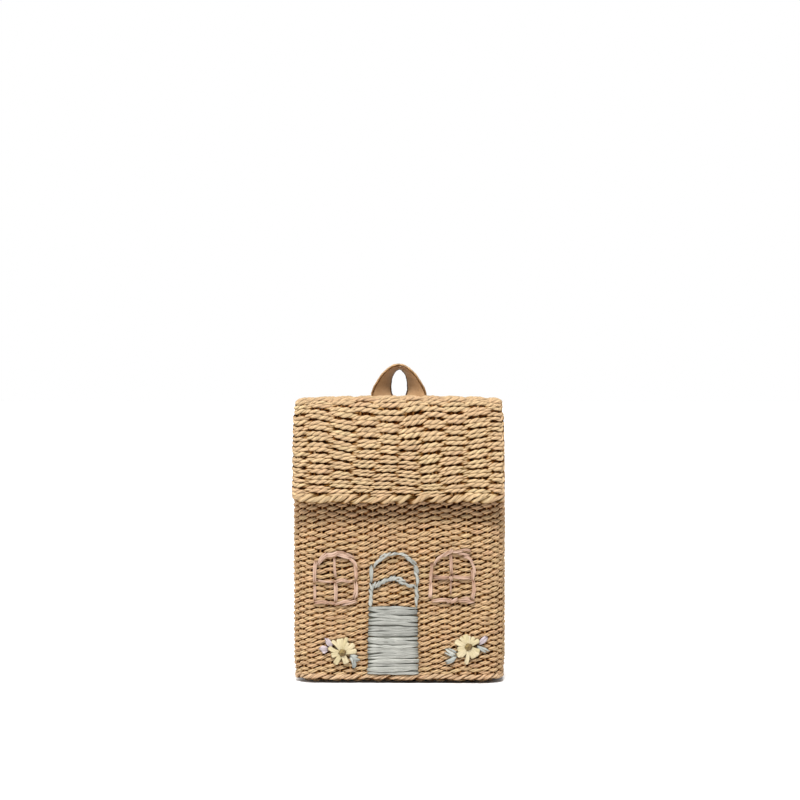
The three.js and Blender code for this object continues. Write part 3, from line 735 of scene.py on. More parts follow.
def strand_material(
    name, warm, pale, fibre, roughness, sunk, deepest, streak,
    crease=0.0, shine=0.3, plies=FINE_PLIES,
):
    """Matt fibres drawn out along a strand, darker and deeper in hue the lower they lie.

    Fibre is the length of a streak in mm and its share of the strand's girth. Sunk gives the
    depths in mm where the painted shade starts and where it is full; there the colour is darkened
    as if the light had gone from fibre to fibre as often as deepest says. Crease paints shade
    along the lines where the plies meet."""
    material, tree, shader = new_material(name)
    half_ply = 0.5 / plies
    place = put(tree, "UVMap", {"uv_map": "strand"}, {})
    stretch = put(tree, "Mapping", {}, {0: place.outputs[0], 3: (1 / fibre[0], 1 / fibre[1], 1)})
    fibres = put(tree, "TexNoise", {}, {"Vector": stretch.outputs[0], "Scale": 1.0, "Detail": 3.0})
    tint = put(tree, "Attribute", {"attribute_name": "tint"}, {})
    depth = put(tree, "Attribute", {"attribute_name": "sunk"}, {})
    shade = put(
        tree, "Mix", {"data_type": "RGBA"},
        {0: tint.outputs["Fac"], 6: colour(warm), 7: colour(pale)},
    )
    swing = put(
        tree, "MapRange", {},
        {0: fibres.outputs["Fac"], 1: FIBRE_RANGE[0], 2: FIBRE_RANGE[1], 3: 1 - streak, 4: 1 + streak},
    )
    # Painted shade along the lines where the plies meet
    girth = put(tree, "SeparateXYZ", {}, {0: place.outputs[0]})
    fold = put(tree, "Math", {"operation": "PINGPONG"}, {0: girth.outputs[1], 1: half_ply})
    meeting = put(
        tree, "MapRange", {"interpolation_type": "SMOOTHSTEP"},
        {0: fold.outputs[0], 1: half_ply * (1 - CREASE_SHARE), 2: half_ply, 3: 1.0, 4: 1 - crease},
    )
    lined = put(tree, "Math", {"operation": "MULTIPLY"}, {0: swing.outputs[0], 1: meeting.outputs[0]})
    streaked = put(
        tree, "Mix", {"data_type": "RGBA", "blend_type": "MULTIPLY"},
        {0: 1.0, 6: shade.outputs[2], 7: lined.outputs[0]},
    )
    # Painted shade: the colour darkens and deepens in hue with the depth of each point
    painted_shade = put(
        tree, "MapRange", {"interpolation_type": "SMOOTHSTEP"},
        {0: depth.outputs["Fac"], 1: sunk[0], 2: sunk[1], 3: 1.0, 4: deepest},
    )
    finished = put(tree, "Gamma", {}, {0: streaked.outputs[2], 1: painted_shade.outputs[0]})
    bump = put(
        tree, "Bump", {},
        {"Height": lined.outputs[0], "Strength": RELIEF_STRENGTH, "Distance": FIBRE_RELIEF * MM},
    )
    tree.links.new(finished.outputs[0], shader.inputs["Base Color"])
    tree.links.new(bump.outputs[0], shader.inputs["Normal"])
    shader.inputs["Roughness"].default_value = roughness
    shader.inputs["Specular IOR Level"].default_value = shine
    return material


# Twisted paper cord: strips of crumpled kraft paper spun into a loose cord. It gives a dry, matt
# straw colour with fine slanting creases; the dark lines of the creases and the deep brown hollows
# between the cords are painted shade.
PAPER_FIBRE = (8.0, 0.1)
PAPER_ROUGHNESS = 0.85
PAPER_SHINE = 0.02
PAPER_CORDS = {
    # warm and pale colour, sunk, deepest, streak, crease, plies
    "body": ("#a88768", "#af9570", (1.7, 4.0), 3.9, 0.45, 0.5, FINE_PLIES),
    "flap": ("#ac8d6e", "#b29b77", (1.5, 4.3), 3.6, 0.4, 0.55, THICK_PLIES),
    "braid": ("#a98a6d", "#b09779", (1.6, 5.5), 2.8, 0.38, 0.35, THICK_PLIES),
    "hem": ("#a38667", "#aa9472", (1.6, 5.5), 2.8, 0.36, 0.35, THICK_PLIES),
}
paper_cord = {}
for name, (warm, pale, *shade, crease, plies) in PAPER_CORDS.items():
    paper_cord[name] = strand_material(
        f"twisted_paper_cord_{name}", warm, pale, PAPER_FIBRE, PAPER_ROUGHNESS, *shade,
        crease, PAPER_SHINE, plies,
    )
# Dyed raffia: thin strips of palm leaf, flat and folded, with a dull sheen and fine long ribs.
RAFFIAS = {
    # warm and pale colour, fibre, roughness, sunk, deepest, streak
    "grey_green": ("#80807a", "#9b9b94", (24.0, 0.1), 0.55, (0.35, 1.5), 2.2, 0.46),
    "pink": ("#9f7e69", "#b59987", (20.0, 0.06), 0.6, (0.4, 2.0), 2.4, 0.3),
    "pale_yellow": ("#a49774", "#b2a588", (20.0, 0.06), 0.55, (0.6, 2.2), 2.2, 0.28),
    "olive_brown": ("#614d2d", "#7c6a3f", (8.0, 0.08), 0.6, (0.8, 2.4), 2.0, 0.3),
    "lilac": ("#928789", "#b4a7a9", (18.0, 0.06), 0.55, (0.35, 1.5), 2.4, 0.26),
    "blue_grey": ("#80837f", "#a5a69e", (18.0, 0.06), 0.55, (0.35, 1.5), 2.4, 0.26),
}
raffia = {name: strand_material(f"dyed_raffia_{name}", *values) for name, values in RAFFIAS.items()}
# Woven cotton tape: undyed yarn, fine diagonal twill ribs, and a firm selvedge. The pitch is
# measured along the tape; a wave of scale 1 repeats every 0.628 mm there.
TWILL_PITCH = 2.2
WAVE_REPEAT = 0.628
TWILL_RELIEF = 0.4
# Shades of the tape: between the ribs and on them; painted shade and light across it, darker at
# one edge and lighter at the other; and painted light along it, where it is least and most lit
RIB_SHADES = (0.88, 1.06)
EDGE_SHADES = (0.76, 1.17)
END_SHADES = (0.9, 1.24)
tape_cotton, tree, shader = new_material("woven_cotton_twill_tape")
place = put(tree, "UVMap", {"uv_map": "strand"}, {})
ribs = put(
    tree, "TexWave", {"bands_direction": "DIAGONAL"},
    {
        "Vector": place.outputs[0], "Scale": WAVE_REPEAT / TWILL_PITCH,
        "Distortion": 0.6, "Detail": 1.0,
    },
)
slub = put(
    tree, "TexNoise", {},
    {"Vector": place.outputs[0], "Scale": 0.35, "Detail": 4.0},
)
worn = put(
    tree, "Mix", {"data_type": "RGBA"},
    {0: slub.outputs["Fac"], 6: colour("#a07c58"), 7: colour("#ba9770")},
)
ribbed = put(
    tree, "MapRange", {},
    {0: ribs.outputs["Fac"], 1: 0.0, 2: 1.0, 3: RIB_SHADES[0], 4: RIB_SHADES[1]},
)
across = put(tree, "SeparateXYZ", {}, {0: place.outputs[0]})
# Painted shade and light: darker at one edge of the tape, lighter at the other
painted_edge_shading = put(
    tree, "MapRange", {},
    {
        0: across.outputs[1], 1: -TAPE_WIDTH / 2, 2: TAPE_WIDTH / 2,
        3: EDGE_SHADES[0], 4: EDGE_SHADES[1],
    },
)
# Painted light along the tape, from the tint of each point
tint = put(tree, "Attribute", {"attribute_name": "tint"}, {})
painted_end_shading = put(
    tree, "MapRange", {},
    {0: tint.outputs["Fac"], 1: 0.0, 2: 1.0, 3: END_SHADES[0], 4: END_SHADES[1]},
)
painted_tape_shading = put(tree, "Math", {"operation": "MULTIPLY"}, {0: painted_edge_shading.outputs[0], 1: painted_end_shading.outputs[0]})
toned = put(tree, "Math", {"operation": "MULTIPLY"}, {0: ribbed.outputs[0], 1: painted_tape_shading.outputs[0]})
cloth = put(
    tree, "Mix", {"data_type": "RGBA", "blend_type": "MULTIPLY"},
    {0: 1.0, 6: worn.outputs[2], 7: toned.outputs[0]},
)
relief = put(
    tree, "Bump", {},
    {"Height": ribs.outputs["Fac"], "Strength": 0.7, "Distance": TWILL_RELIEF * MM},
)
tree.links.new(cloth.outputs[2], shader.inputs["Base Color"])
tree.links.new(relief.outputs[0], shader.inputs["Normal"])
shader.inputs["Roughness"].default_value = 0.85
shader.inputs["Specular IOR Level"].default_value = 0.2
selvedge_cotton = strand_material(
    "woven_cotton_selvedge", "#7e5d46", "#bb9e7c", fibre=(6.0, 0.3), roughness=0.85,
    sunk=(0.9, 3.0), deepest=2.0, streak=0.2, crease=0.7, shine=0.1,
)


# Body

def body_shape(z):
    """Inset and swell of the body at each height."""
    heights = BODY_SECTIONS[:, 0]
    return np.interp(z, heights, BODY_SECTIONS[:, 1]), np.interp(z, heights, BODY_SECTIONS[:, 2])


def wall_distance(x, z):
    """Distance from the middle plane to the outside of the front or back wall."""
    inset, swell = body_shape(z)
    half_width = BODY_WIDTH / 2 - inset
    radius = BODY_CORNER_RADIUS - inset
    past = np.maximum(np.abs(x) - (half_width - radius), 0)
    drop = radius - np.sqrt(np.maximum(radius * radius - past * past, 0))
    return BODY_DEPTH / 2 - inset + swell * (1 - (x / half_width) ** 2) - drop


def body_outline():
    """Outline from above, from the middle of the back wall round by the left to the front."""
    reach_x = BODY_WIDTH / 2 - BODY_CORNER_RADIUS
    reach_y = BODY_DEPTH / 2 - BODY_CORNER_RADIUS
    points = [(0.0, BODY_DEPTH / 2)]
    facing = [(0.0, 1.0)]
    for hand_x, hand_y, start in ((-1, 1, 90), (-1, -1, 180), (1, -1, 270), (1, 1, 0)):
        for degrees in range(0, 91, BODY_CORNER_STEP):
            angle = math.radians(start + degrees)
            facing.append((math.cos(angle), math.sin(angle)))
            points.append((
                hand_x * reach_x + BODY_CORNER_RADIUS * math.cos(angle),
                hand_y * reach_y + BODY_CORNER_RADIUS * math.sin(angle),
            ))
    points.append(points[0])
    facing.append(facing[0])
    points = np.array(points)
    return lengths(points), points, np.array(facing)


OUTLINE_LENGTH, OUTLINE_POINTS, OUTLINE_FACING = body_outline()
PERIMETER = OUTLINE_LENGTH[-1]


def outline_at(distance):
    """Place on the outline, and the way it faces, at distances round the body."""
    at = np.mod(distance, PERIMETER)
    columns = (*OUTLINE_POINTS.T, *OUTLINE_FACING.T)
    return [np.interp(at, OUTLINE_LENGTH, column) for column in columns]


def round_body(distance, z, depth):
    """Points at distances round the body, some depth inside its wall, and where they face."""
    x, y, face_x, face_y = outline_at(distance)
    inset, swell = body_shape(np.maximum(z, WALL_FOOT))
    x = x - face_x * (inset + depth)
    y = y - face_y * (inset + depth)
    y = y + np.sign(y) * swell * (1 - (x / (BODY_WIDTH / 2)) ** 2)
    facing = np.stack([face_x, face_y, np.zeros_like(face_x)], axis=-1)
    return np.stack(np.broadcast_arrays(x, y, z), axis=-1), unit(facing)


def slow_waves(across, along, table):
    """Sum of the waves of a table: height, number across, climb along, start."""
    return sum(
        height * np.sin(number * across + along / climb + start)
        for height, number, climb, start in table
    )


def row_waves(distance, z):
    """How far the rows of the body rise and fall together."""
    wave = slow_waves(TWO_PI * distance / PERIMETER, z, ROW_WAVES)
    ends = np.minimum((z - FIRST_ROW) / ROW_WAVE_FADE, (LAST_ROW - z) / ROW_WAVE_FADE)
    return wave * np.clip(ends, 0, 1)


def stake_lean(distance, z):
    """Sideways drift of the stakes, which never stand quite upright or evenly spaced."""
    return slow_waves(TWO_PI * distance / PERIMETER, z, STAKE_WAVES)


def make_body_weft():
    """One cord that winds up the body, cut into bands that lie one above the other."""
    climb = LAST_ROW - FIRST_ROW
    rows = (math.sqrt(FIRST_PITCH ** 2 + 2 * PITCH_GROWTH * climb) - FIRST_PITCH) / PITCH_GROWTH
    crossing = np.arange(int(rows * STAKE_COUNT * WEFT_RINGS)) / WEFT_RINGS
    count = len(crossing)
    row = crossing / STAKE_COUNT
    level = FIRST_ROW + FIRST_PITCH * row + PITCH_GROWTH * row ** 2 / 2
    distance = crossing * PERIMETER / STAKE_COUNT
    distance = distance + stake_lean(distance, level)
    z = level + row_waves(distance, level) + wander(count, *WEFT_RISE)
    swing = np.cos(math.pi * crossing)
    z = z + WEFT_TILT * np.sin(math.pi * crossing) * (1 + wander(count, *WEFT_SLANT))
    reach = 1 + wander(count, *WEFT_REACH)
    path, facing = round_body(distance, z, STAKE_DEPTH - WEFT_SWING * swing * reach)
    spindle = 1 - WEFT_SQUEEZE * (1 - np.abs(swing))
    uneven = 1 + wander(count, *WEFT_UNEVEN)
    fullness = WEFT_FULLNESS * (FIRST_PITCH + PITCH_GROWTH * row)
    thick = np.full(count, WEFT_HALF_THICKNESS)
    size = np.stack([thick, fullness * spindle * uneven], axis=1)
    # Painted shade under the flap, on the front only
    under_flap_shade = np.clip(1 - (HEM_BRAID_TOP - HEM_BRAID_HEIGHT - z) / UNDER_FLAP_SHADE_REACH, 0, 1)
    under_flap_shade = np.where(facing[:, 1] < 0, under_flap_shade, 0)
    # Depth for the painted shade: the cord darkens where it passes behind the stakes
    below = WEFT_HALF_THICKNESS + WEFT_SWING * (1 - swing)
    below = below + UNDER_FLAP_SHADE_DEPTH * under_flap_shade
    turn = -TWO_PI * lengths(path) / WEFT_LAY + wander(count, *WEFT_TWIST)
    tint = MIDDLE_TINT + wander(count, *WEFT_TINT) + wander(count, *WEFT_LONG_TINT)
    tint = np.clip(tint - UNDER_FLAP_SHADE_TINT * under_flap_shade, 0, 1)
    edges = np.linspace(0, count - 1, WEFT_BANDS + 1).astype(int)
    for band in range(WEFT_BANDS):
        part = slice(edges[band], edges[band + 1] + 1)
        cord = strand(
            path[part], facing[part], CORD, size[part], turn[part],
            depth=below[part], tint=tint[part],
        )
        nodes = ["woven_body"] if band == 0 else []
        make_piece(f"body_weft_{band + 1}", [cord], paper_cord["body"], "body_cord", *nodes)


def make_body_stakes():
    """Upright stakes that the weft winds round."""
    rings = int((LAST_ROW - FIRST_ROW) / STAKE_RING_SPACING)
    height = np.linspace(FIRST_ROW - STAKE_FOOT, LAST_ROW, rings)
    size = np.full(rings, STAKE_RADIUS)
    stakes = []
    for stake in range(STAKE_COUNT):
        place = stake * PERIMETER / STAKE_COUNT
        path, facing = round_body(place + stake_lean(place, height), height, STAKE_DEPTH)
        stakes.append(strand(path, facing, ROUND, size, depth=STAKE_DEPTH - STAKE_LIGHT))
    make_piece("body_stakes", stakes, paper_cord["body"], "body_cord")


def make_body_rim():
    """Two cords twisted round each other along the top of the walls."""
    rim = []
    around = np.arange(0, PERIMETER, BRAID_RING_SPACING)
    for cord in range(2):
        angle = TWO_PI * (RIM_TURNS * around / PERIMETER + cord / 2)
        path, facing = round_body(
            around, RIM_PLANE + RIM_CORD_OFFSET * np.sin(angle),
            STAKE_DEPTH - RIM_CORD_OFFSET * np.cos(angle),
        )
        radius = np.full(len(path), RIM_CORD_RADIUS)
        rim.append(strand(path, facing, ROUND, radius, closed=True, tint=RIM_TINT))
    make_piece("body_rim", rim, paper_cord["body"], "body_cord")


def make_body_floor():
    """Plain weave of the floor, seen from below."""
    half_x = BODY_WIDTH / 2 - FLOOR_INSET
    half_y = BODY_DEPTH / 2 - FLOOR_INSET
    radius = BODY_CORNER_RADIUS / 2
    pitch = PERIMETER / STAKE_COUNT
    down = (0.0, 0.0, -1.0)

    def trimmed(place, reach, other):
        """Half length of a cord at a place across the floor, shorter at the rounded corners."""
        past = max(abs(place) - (reach - radius), 0)
        return other - radius + math.sqrt(max(radius * radius - past * past, 0))

    strands = []
    first, last = FLOOR_ROW_MARGINS
    for row, y in enumerate(np.arange(-half_y + first, half_y - last, FLOOR_ROW_PITCH)):
        end = trimmed(y, half_y, half_x)
        x = np.arange(-end, end, pitch / FLOOR_WEFT_RINGS)
        swing = np.cos(math.pi * (x / pitch + row))
        path = np.stack([x, np.full_like(x, y), FLOOR_PLANE - FLOOR_WEFT_SWING * swing], axis=1)
        below = FLOOR_WEFT_RADIUS + FLOOR_WEFT_SWING * (1 - swing)
        size = FLOOR_WEFT_RADIUS * (1 - WEFT_SQUEEZE * (1 - np.abs(swing)))
        turn = -TWO_PI * lengths(path) / WEFT_LAY
        tint = chance.uniform(*FLOOR_TINTS)
        strands.append(strand(path, down, CORD, size, turn, depth=below, tint=tint))
    for x in np.arange(-half_x + pitch / 2, half_x, pitch):
        end = trimmed(x, half_x, half_y)
        y = np.linspace(-end, end, FLOOR_STAKE_RINGS)
        path = np.stack([np.full_like(y, x), y, np.full_like(y, FLOOR_PLANE)], axis=1)
        size = np.full(FLOOR_STAKE_RINGS, STAKE_RADIUS)
        strands.append(strand(path, down, ROUND, size, depth=FLOOR_PLANE))
    make_piece("body_floor", strands, paper_cord["body"], "body_cord")


def make_base_braid():
    """Rope round the foot: each strand closes on itself after a whole number of turns."""
    strands = []
    around = np.arange(0, PERIMETER, BRAID_RING_SPACING)
    lap = TWO_PI * around / PERIMETER
    x, y, face_x, face_y = outline_at(around)
    facing = unit(np.stack([face_x, face_y, np.zeros_like(face_x)], axis=1))
    half_z = BASE_BRAID_HEIGHT / 2
    half_out = BASE_BRAID_THICKNESS / 2
    whole_turns = round(PERIMETER / STRAND_PLY_LAY)
    turn = -TWO_PI * whole_turns * around / PERIMETER
    for number in range(BASE_BRAID_STRANDS):
        angle = BASE_BRAID_TURNS * lap + TWO_PI * number / BASE_BRAID_STRANDS
        for height, count, start in BASE_TWIST_WAVES:
            angle = angle + height * np.sin(count * lap + start * number)
        depth = BASE_BRAID_INSET - half_out * (1 - BASE_STRAND_SHARE) * np.cos(angle)
        z = BASE_BRAID_MIDDLE + half_z * (1 - BASE_STRAND_SHARE) * np.sin(angle)
        for height, count, start in BASE_RISE_WAVES:
            z = z + height * np.sin(count * lap + start)
        path = np.stack([x - face_x * depth, y - face_y * depth, z], axis=1)
        height, count = BASE_SWELL_WAVE
        swell = BASE_STRAND_SWELL + height * np.sin(count * lap + number)
        size = np.tile([half_out, half_z], (len(path), 1)) * BASE_STRAND_SHARE * swell[:, None]
        below = size[:, 0] + half_out * (1 - BASE_STRAND_SHARE) * (1 - np.cos(angle))
        height, count = BASE_TINT_WAVE
        tint = MIDDLE_TINT + height * np.sin(count * lap + number)
        strands.append(strand(path, facing, ROPE, size, turn, closed=True, depth=below, tint=tint))
    make_piece("base_braid_strands", strands, paper_cord["braid"], "braid_cord", "base_braid")


# Flap

def flap_profile():
    """Side view of the flap's middle surface from the back seam over the top to the hem:
    y, z, facing angle, half width and crown at each station, and the distance along it."""
    half = FLAP_THICKNESS / 2
    back_radius = FLAP_TOP - FLAP_SEAM
    back_y = BODY_DEPTH / 2 - back_radius
    front_y = -(BODY_DEPTH / 2 + FLAP_FRONT_CLEARANCE) + FLAP_FRONT_RADIUS - FLAP_THICKNESS
    front_z = FLAP_TOP - FLAP_FRONT_RADIUS
    hang = math.radians(180 - FLAP_LEAN)
    rows = []
    for t in np.linspace(0, 1, FLAP_ARC_STATIONS):
        angle = t * math.pi / 2
        reach = back_radius - half
        rows.append((
            back_y + reach * math.cos(angle), FLAP_SEAM + reach * math.sin(angle), angle,
            FLAP_SEAM_HALF + t * (FLAP_BACK_HALF - FLAP_SEAM_HALF),
            FLAP_CROWN * math.sin(angle) ** 2,
        ))
    for t in np.linspace(0, 1, FLAP_SPAN_STATIONS)[1:-1]:
        half_width = FLAP_BACK_HALF + min(2 * t, 1) * (FLAP_TOP_HALF - FLAP_BACK_HALF)
        y = back_y + t * (front_y - back_y)
        rows.append((y, FLAP_TOP - half, math.pi / 2, half_width, FLAP_CROWN))
    for t in np.linspace(0, 1, FLAP_ARC_STATIONS):
        angle = math.pi / 2 + t * (hang - math.pi / 2)
        reach = FLAP_FRONT_RADIUS - half
        rows.append((
            front_y + reach * math.cos(angle), front_z + reach * math.sin(angle), angle,
            FLAP_TOP_HALF + t * (FLAP_FRONT_HALF - FLAP_TOP_HALF),
            FLAP_CROWN + t * (FLAP_HANG_CROWN - FLAP_CROWN),
        ))
    start_y, start_z = rows[-1][:2]
    for t in np.linspace(0, 1, FLAP_SPAN_STATIONS)[1:]:
        fall = t * (start_z - FLAP_WEAVE_END)
        rows.append((
            start_y - fall * math.tan(math.radians(FLAP_LEAN)), start_z - fall, hang,
            FLAP_FRONT_HALF + t * (FLAP_HEM_HALF - FLAP_FRONT_HALF), FLAP_HANG_CROWN,
        ))
    rows = np.array(rows)
    return lengths(rows[:, :2]), rows


FLAP_ALONG, FLAP_ROWS = flap_profile()
FLAP_LENGTH = FLAP_ALONG[-1]
FLAP_CREST = FLAP_ALONG[np.searchsorted(FLAP_ROWS[:, 2], math.pi / 2, side="right")]


def on_flap(x, along, offset):
    """Points on the flap at a place across and along it, some way out of its middle surface."""
    columns = [np.interp(along, FLAP_ALONG, column) for column in FLAP_ROWS.T]
    y, z, angle, half_width, crown = columns
    across = np.clip(x / half_width, -FLAP_MOST_ACROSS, FLAP_MOST_ACROSS)
    rolled = np.maximum(1 - half_width * (1 - np.abs(across)) / FLAP_EDGE_REACH, 0)
    rise = crown * (1 - across ** 2) - FLAP_EDGE_DROP * rolled ** 2
    out = rise + offset
    facing = np.stack(np.broadcast_arrays(0.0 * x, np.cos(angle), np.sin(angle)), axis=-1)
    return np.stack([x, y + np.cos(angle) * out, z + np.sin(angle) * out], axis=-1), facing


def near_edge(x):
    """Share of the way across the band along a side edge of the flap."""
    return np.clip(1 - (FLAP_TOP_HALF - np.abs(x)) / FLAP_EDGE_BAND, 0, 1)


def near_crest(along):
    """How near a place is to where the flap starts to turn down in front, from 0 to 1."""
    return np.exp(-((along - FLAP_CREST) / FLAP_CREST_REACH) ** 2)


def flap_drift(x, along):
    """How far the rows stray along the flap: waves of hand weaving, a sag where it hangs, and a
    bend down at the left and the right edge."""
    drift = sum(
        height * np.sin(x / length + along / climb + start)
        for height, length, climb, start in FLAP_WAVES
    )
    drift = drift * np.clip(np.minimum(along, FLAP_LENGTH - along) / FLAP_WAVE_FADE, 0, 1)
    hanging = np.clip((along - FLAP_CREST) / (FLAP_LENGTH - FLAP_CREST), 0, 1)
    sag = FLAP_SAG * np.sin(math.pi * hanging) * np.exp(-(x / FLAP_SAG_REACH) ** 2)
    return drift + sag + np.where(x < 0, *FLAP_EDGE_BEND) * near_edge(x) ** 2


def flap_line():
    """Course of the weft to and fro: place across and along the flap, and swing out of it. Each
    row ends by turning back round the outer stake."""
    row_count = round(FLAP_LENGTH / FLAP_ROW_PITCH)
    row_pitch = FLAP_LENGTH / row_count
    x_line, along_line, swing_line = [], [], []
    for row in range(row_count):
        along = (row + 0.5) * row_pitch
        half = np.interp(along, FLAP_ALONG, FLAP_ROWS[:, 3]) - FLAP_EDGE_INSET
        across = np.linspace(-1, 1, int(2 * half / FLAP_RING_SPACING))
        hand = 1 if row % 2 == 0 else -1
        phase = math.pi * FLAP_COLUMNS * (across + 1) / 2
        stray = slow_waves(hand * across, along, FLAP_STRAY_WAVES)
        phase = phase + hand * (1 - across ** 2) * stray
        swing = (1 + FLAP_SWING_FLATNESS) * np.cos(phase) - FLAP_SWING_FLATNESS * np.cos(3 * phase)
        half = half - FLAP_CREST_PULL * near_crest(max(along, FLAP_CREST))
        x_line.append(hand * half * across)
        along_line.append(np.full(len(across), along))
        swing_line.append(swing)
        if row < row_count - 1:
            turn = np.linspace(0, math.pi, FLAP_TURN_STEPS)[1:-1]
            x_line.append(hand * (half + FLAP_SWING * np.sin(turn)))
            along_line.append(along + row_pitch * turn / math.pi)
            swing_line.append(swing[-1] * np.cos(turn))
    return map(np.concatenate, (x_line, along_line, swing_line))


def make_flap_weft():
    """Pair of cords that run side by side along the whole course of the weft."""
    x, along, swing = flap_line()
    count = len(x)
    drift = flap_drift(x, along)
    spread = 1 + (flap_drift(x, along + 1) - flap_drift(x, along - 1)) / 2
    tight = 1 - FLAP_PINCH * (1 - np.abs(swing))
    apart = FLAP_PAIR_OFFSET * spread * tight * (1 + FLAP_EDGE_OPENING * near_edge(x))
    # Depth for the painted shade, less at the crossings, and a painted highlight round the crest
    below = FLAP_CORD_RADIUS + FLAP_SWING * (1 - swing)
    below = below - FLAP_CROSSING_LIGHT * (1 - np.abs(swing)) ** 2
    below = below - FLAP_CREST_LIGHT * near_crest(along)
    cords = []
    for hand in (-1, 1):
        place = along + drift + hand * apart + wander(count, *FLAP_RISE)
        place = np.clip(place, FLAP_SEAM_MARGIN, FLAP_LENGTH)
        path, facing = on_flap(x, place, FLAP_SWING * swing * (1 + wander(count, *FLAP_REACH)))
        radius = FLAP_CORD_RADIUS * (1 + wander(count, *FLAP_UNEVEN))
        size = np.stack([radius, radius * spread * tight], axis=1)
        turn = hand * math.pi / 2 / THICK_PLIES - TWO_PI * lengths(path) / FLAP_LAY
        turn = turn + wander(count, *FLAP_TWIST)
        tint = MIDDLE_TINT + wander(count, *FLAP_TINT) + wander(count, *FLAP_LONG_TINT)
        tint = np.clip(tint, 0, 1)
        cords.append(strand(path, facing, ROPE, size, turn, depth=below, tint=tint))
    make_piece("flap_weft", cords, paper_cord["flap"], "flap_cord", "flap")


def make_flap_stakes():
    """Three thin stakes side by side in each column."""
    stakes = []
    rings = int(FLAP_LENGTH / FLAP_STAKE_RING_SPACING)
    along = np.linspace(FLAP_STAKE_START, FLAP_LENGTH, rings)
    half = np.interp(along, FLAP_ALONG, FLAP_ROWS[:, 3]) - FLAP_EDGE_INSET
    size = np.full(rings, FLAP_STAKE_RADIUS)
    for column in range(FLAP_COLUMNS + 1):
        for place in (-1, 0, 1):
            x = half * (2 * column / FLAP_COLUMNS - 1) + place * FLAP_STAKE_SPACING
            path, facing = on_flap(np.clip(x, -half, half), along, -FLAP_STAKE_DEPTH)
            below = FLAP_SWING + FLAP_CORD_RADIUS + wander(rings, *FLAP_STAKE_SHADE)
            stakes.append(strand(path, facing, ROUND, size, depth=below))
    make_piece("flap_stakes", stakes, paper_cord["flap"], "flap_cord")


def make_hem_braid():
    """Rope along the lower edge of the flap, with rounded ends."""
    end = FLAP_HEM_HALF - HEM_END_MARGIN
    x = np.linspace(-end, end, int(2 * FLAP_HEM_HALF / BRAID_RING_SPACING))
    count = len(x)
    past = np.maximum(np.abs(x) - (FLAP_HEM_HALF - HEM_CORNER_RADIUS), 0)
    cut = HEM_CORNER_RADIUS - np.sqrt(HEM_CORNER_RADIUS ** 2 - past ** 2)
    half_z = (HEM_BRAID_HEIGHT - cut) / 2
    half_out = HEM_BRAID_THICKNESS / 2 * (1 - cut / (HEM_END_TAPER * HEM_CORNER_RADIUS))
    middle, _ = on_flap(x, np.full(count, FLAP_LENGTH), 0.0)
    middle[:, 2] = HEM_BRAID_TOP - half_z
    strands = []
    for number in range(HEM_BRAID_STRANDS):
        angle = TWO_PI * (x / HEM_LAY + number / HEM_BRAID_STRANDS) + wander(count, *HEM_TWIST)
        path = middle.copy()
        path[:, 1] -= half_out * (1 - HEM_STRAND_SHARE) * np.cos(angle)
        path[:, 2] += half_z * (1 - HEM_STRAND_SHARE) * np.sin(angle)
        path[:, 2] += wander(count, *HEM_RISE)
        swell = HEM_STRAND_SHARE * (HEM_STRAND_SWELL + wander(count, *HEM_UNEVEN))
        size = np.stack([half_out, half_z], axis=1) * swell[:, None]
        below = size[:, 0] + half_out * (1 - HEM_STRAND_SHARE) * (1 - np.cos(angle))
        tint = np.clip(MIDDLE_TINT + wander(count, *HEM_TINT), 0, 1)
        turn = -TWO_PI * lengths(path) / STRAND_PLY_LAY
        strands.append(strand(path, FRONT, ROPE, size, turn, depth=below, tint=tint))
    make_piece("flap_braid_strands", strands, paper_cord["hem"], "braid_cord", "flap_braid")


# Tape

def tape_axes(path, breadth):
    """Directions across a tape and out of its face at each point."""
    ahead = unit(np.gradient(path, axis=0))
    side = unit(breadth - ahead * np.sum(breadth * ahead, axis=1, keepdims=True))
    return side, np.cross(side, ahead)


def make_tape(name, node, path, breadth, painted_light, edge_tints):
    """Flat tape along a path, its width pointing along breadth, with painted light that changes from
    end to end, and the firm twisted yarn along its two edges, each with its own tint."""
    fine_path, fine_breadth = resample(path, breadth, SELVEDGE_RING_SPACING)
    path, breadth = resample(path, breadth, TAPE_RING_SPACING)
    _, out = tape_axes(path, breadth)
    size = np.tile([TAPE_THICKNESS / 2, TAPE_WIDTH / 2 - SELVEDGE_INSET], (len(path), 1))
    girth = FLAT_TAPE[:, 1] * TAPE_WIDTH / 2
    girth = np.append(girth, girth[0])
    tape = strand(path, out, FLAT_TAPE, size, tint=np.linspace(*painted_light, len(path)), girth=girth)
    make_piece(f"{name}_tape", [tape], tape_cotton, "tape", node)

    side, out = tape_axes(fine_path, fine_breadth)
    size = np.full(len(fine_path), SELVEDGE_RADIUS)
    edges = []
    for hand, tint in zip((-1, 1), edge_tints):
        edge = fine_path + hand * side * (TAPE_WIDTH / 2 - SELVEDGE_INSET)
        turn = TWO_PI * lengths(edge) / SELVEDGE_LAY
        edges.append(strand(edge, out, SELVEDGE, size, turn, tint=tint))
    make_piece(f"{name}_selvedge", edges, selvedge_cotton, "tape")


def behind_back(x, z, behind):
    """Distance of a tape's middle from the middle plane of the bag."""
    return wall_distance(x, z) + SEWN_GAP + behind + TAPE_THICKNESS / 2


